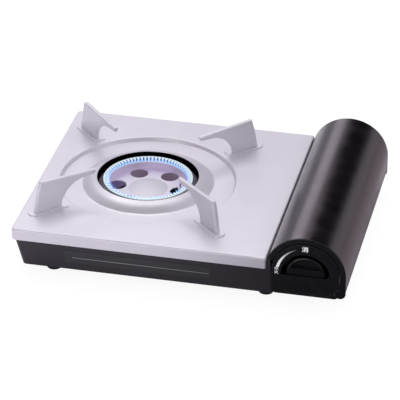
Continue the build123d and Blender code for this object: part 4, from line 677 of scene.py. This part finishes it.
def petal(shape, port):
    """One flame, a closed pointed tube that leans in over the bowl."""
    angle = 2 * pi * port / PORTS
    outward = Vector((cos(angle), sin(angle), 0))
    aside = Vector((-sin(angle), cos(angle), 0))
    wave = 0.5 + 0.5 * sin(port * FLICKER_TURN)
    length = FLAME_LENGTH + FLAME_FLICKER * wave
    start = BURNER + outward * FLAME_START + Vector((0, 0, FLAME_FOOT))
    lean = (-outward * FLAME_LEAN_IN + Vector((0, 0, FLAME_LEAN_UP))).normalized()
    across = aside.cross(lean)
    rings = []
    for row in range(FLAME_ROWS):
        share = row / FLAME_ROWS
        width = FLAME_WIDTH * (1 - share) ** FLAME_TAPER * (1 + FLAME_SWELL * share)
        middle = start + lean * length * share
        turns = [2 * pi * side / FLAME_SIDES for side in range(FLAME_SIDES)]
        rings.append([
            shape.verts.new(middle + aside * width * cos(turn) + across * width * sin(turn))
            for turn in turns
        ])
    tip = shape.verts.new(start + lean * length)
    for first, second in zip(rings, rings[1:]):
        join_rings(shape, first, second)
    for side in range(FLAME_SIDES):
        shape.faces.new((rings[-1][side], rings[-1][(side + 1) % FLAME_SIDES], tip))
    shape.faces.new(rings[0])


def flames(shape):
    """A petal at each port."""
    for port in range(PORTS):
        petal(shape, port)


piece("burner_flames", flames, flame, "base", smooth=True)


# ---------------------------------------------------------------------------
# Floor
# ---------------------------------------------------------------------------

FLOOR_SIZE = 8.0
PAPER_SEEN = (0.14, 0.14, 0.14)  # base colour to the camera, under the sheet's own light
PAPER_LIGHT = 0.92
PAPER_NEAR = (0.92, 0.89, 0.93)  # colours that other rays meet
PAPER_BESIDE = (0.48, 0.42, 0.45)
CARD_GREY = (0.19, 0.19, 0.205)
BESIDE_START, BESIDE_END = 0.05, 0.20
CARD_LEFT, CARD_RIGHT = -0.04, 0.10
CARD_BACK, CARD_FRONT = -0.12, -0.16


def floor_paper():
    """Paper that the camera sees white, with the object's shadow kept.

    Other rays meet darker paper on the right and a grey card in front of the panel.
    """
    s = Shader("floor_paper")
    seen = s.node("ShaderNodeLightPath").outputs["Is Camera Ray"]
    x, y, _ = s.axes()
    beside = s.ramp(x, BESIDE_START, BESIDE_END)
    card = s.product(s.ramp(x, CARD_LEFT, CARD_RIGHT), s.ramp(y, CARD_BACK, CARD_FRONT))
    bounced = s.mix(card, s.mix(beside, PAPER_NEAR, PAPER_BESIDE), CARD_GREY)
    s.set(Base_Color=s.mix(seen, bounced, PAPER_SEEN), Roughness=0.9, Specular_IOR_Level=0.0)
    light = s.node("ShaderNodeEmission")
    s.put(light, "Color", WHITE)
    s.put(light, "Strength", s.math("MULTIPLY", seen, PAPER_LIGHT))
    both = s.node("ShaderNodeAddShader")
    s.link(s.bsdf.outputs[0], both.inputs[0])
    s.link(light.outputs[0], both.inputs[1])
    s.link(both.outputs[0], s.output.inputs["Surface"])
    return s


half = FLOOR_SIZE / 2
corners = [(-half, -half, 0), (half, -half, 0), (half, half, 0), (-half, half, 0)]
floor_data = bpy.data.meshes.new("floor")
floor_data.from_pydata(corners, [], [(0, 1, 2, 3)])
floor_data.materials.append(floor_paper().material)
floor = bpy.data.objects.new("floor", floor_data)
scene.collection.objects.link(floor)


# ---------------------------------------------------------------------------
# World and lamps
# ---------------------------------------------------------------------------

# Each patch of the world: towards, then the angles in degrees at which it is
# whole and at which it has faded out.
SOFTBOX = ((-0.368, 0.848, 0.381), 1, 12)
DARK_CARD = ((0.176, 0.848, 0.500), 10.5, 25)
DARK_CEILING = ((-0.15, -0.45, 0.85), 20, 70)
BACK_LIGHT = ((0.50, 0.45, 0.74), 0, 120)

REFLECTED_LEVEL = 0.48  # what reflections meet away from every patch
SOFTBOX_GAIN = 1.15  # what the softbox adds to that
DARK_CARD_SHARE = 0.015  # what the two dark patches leave of it
DARK_CEILING_SHARE = 0.25
PLAIN_LEVEL = 0.22  # what lights the object from opposite the back light
BACK_LIGHT_LEVEL = 0.84
COOL = (0.97, 0.985, 1.04)  # tint of the world, except to the camera


def studio():
    """A world that is white to the camera and a plain studio to other rays."""
    world = bpy.data.worlds.new("studio")
    scene.world = world
    sky = Nodes(world)
    direction = sky.node("ShaderNodeTexCoord").outputs["Generated"]
    ray = sky.node("ShaderNodeLightPath").outputs

    def patch(towards, whole, gone):
        """1 within an angle of a direction, fading to 0 at a wider one."""
        dot = sky.node("ShaderNodeVectorMath", operation="DOT_PRODUCT")
        sky.link(direction, dot.inputs[0])
        dot.inputs[1].default_value = Vector(towards).normalized()
        reach = sky.node("ShaderNodeMapRange", interpolation_type="SMOOTHSTEP")
        sky.link(dot.outputs["Value"], reach.inputs[0])
        reach.inputs[1].default_value = cos(radians(gone))
        reach.inputs[2].default_value = cos(radians(whole))
        return reach.outputs[0]

    lit = sky.blend(patch(*SOFTBOX), REFLECTED_LEVEL, REFLECTED_LEVEL + SOFTBOX_GAIN)
    card = sky.blend(patch(*DARK_CARD), 1.0, DARK_CARD_SHARE)
    ceiling = sky.blend(patch(*DARK_CEILING), 1.0, DARK_CEILING_SHARE)
    reflected = sky.product(lit, card, ceiling)
    plain = sky.blend(patch(*BACK_LIGHT), PLAIN_LEVEL, BACK_LIGHT_LEVEL)
    level = sky.blend(ray["Is Glossy Ray"], plain, reflected)
    level = sky.blend(ray["Is Camera Ray"], level, 1.0)

    background = sky.node("ShaderNodeBackground")
    sky.put(background, "Color", sky.mix(ray["Is Camera Ray"], COOL, WHITE))
    sky.put(background, "Strength", level)
    output = sky.node("ShaderNodeOutputWorld")
    sky.link(background.outputs[0], output.inputs[0])


def lamp(name, place, aim, size, power):
    """A soft rectangular lamp. Power is in watts."""
    data = bpy.data.lights.new(name, "AREA")
    data.shape = "RECTANGLE"
    data.size, data.size_y = size
    data.energy = power
    made = bpy.data.objects.new(name, data)
    made.location = place
    made.rotation_euler = (Vector(place) - Vector(aim)).to_track_quat("Z", "Y").to_euler()
    scene.collection.objects.link(made)


studio()
lamp("top_light", (-0.3, 0.62, 1.2), aim=(0, 0, 0), size=(1.0, 0.8), power=6.2)
lamp("right_light", (1.3, -0.6, 0.9), aim=(0, 0, 0), size=(0.9, 0.9), power=1.5)
lamp("low_light", (-0.5, -1.5, 0.35), aim=(0, 0, 0.05), size=(1.2, 0.4), power=5.5)

scene.view_settings.view_transform = "Standard"
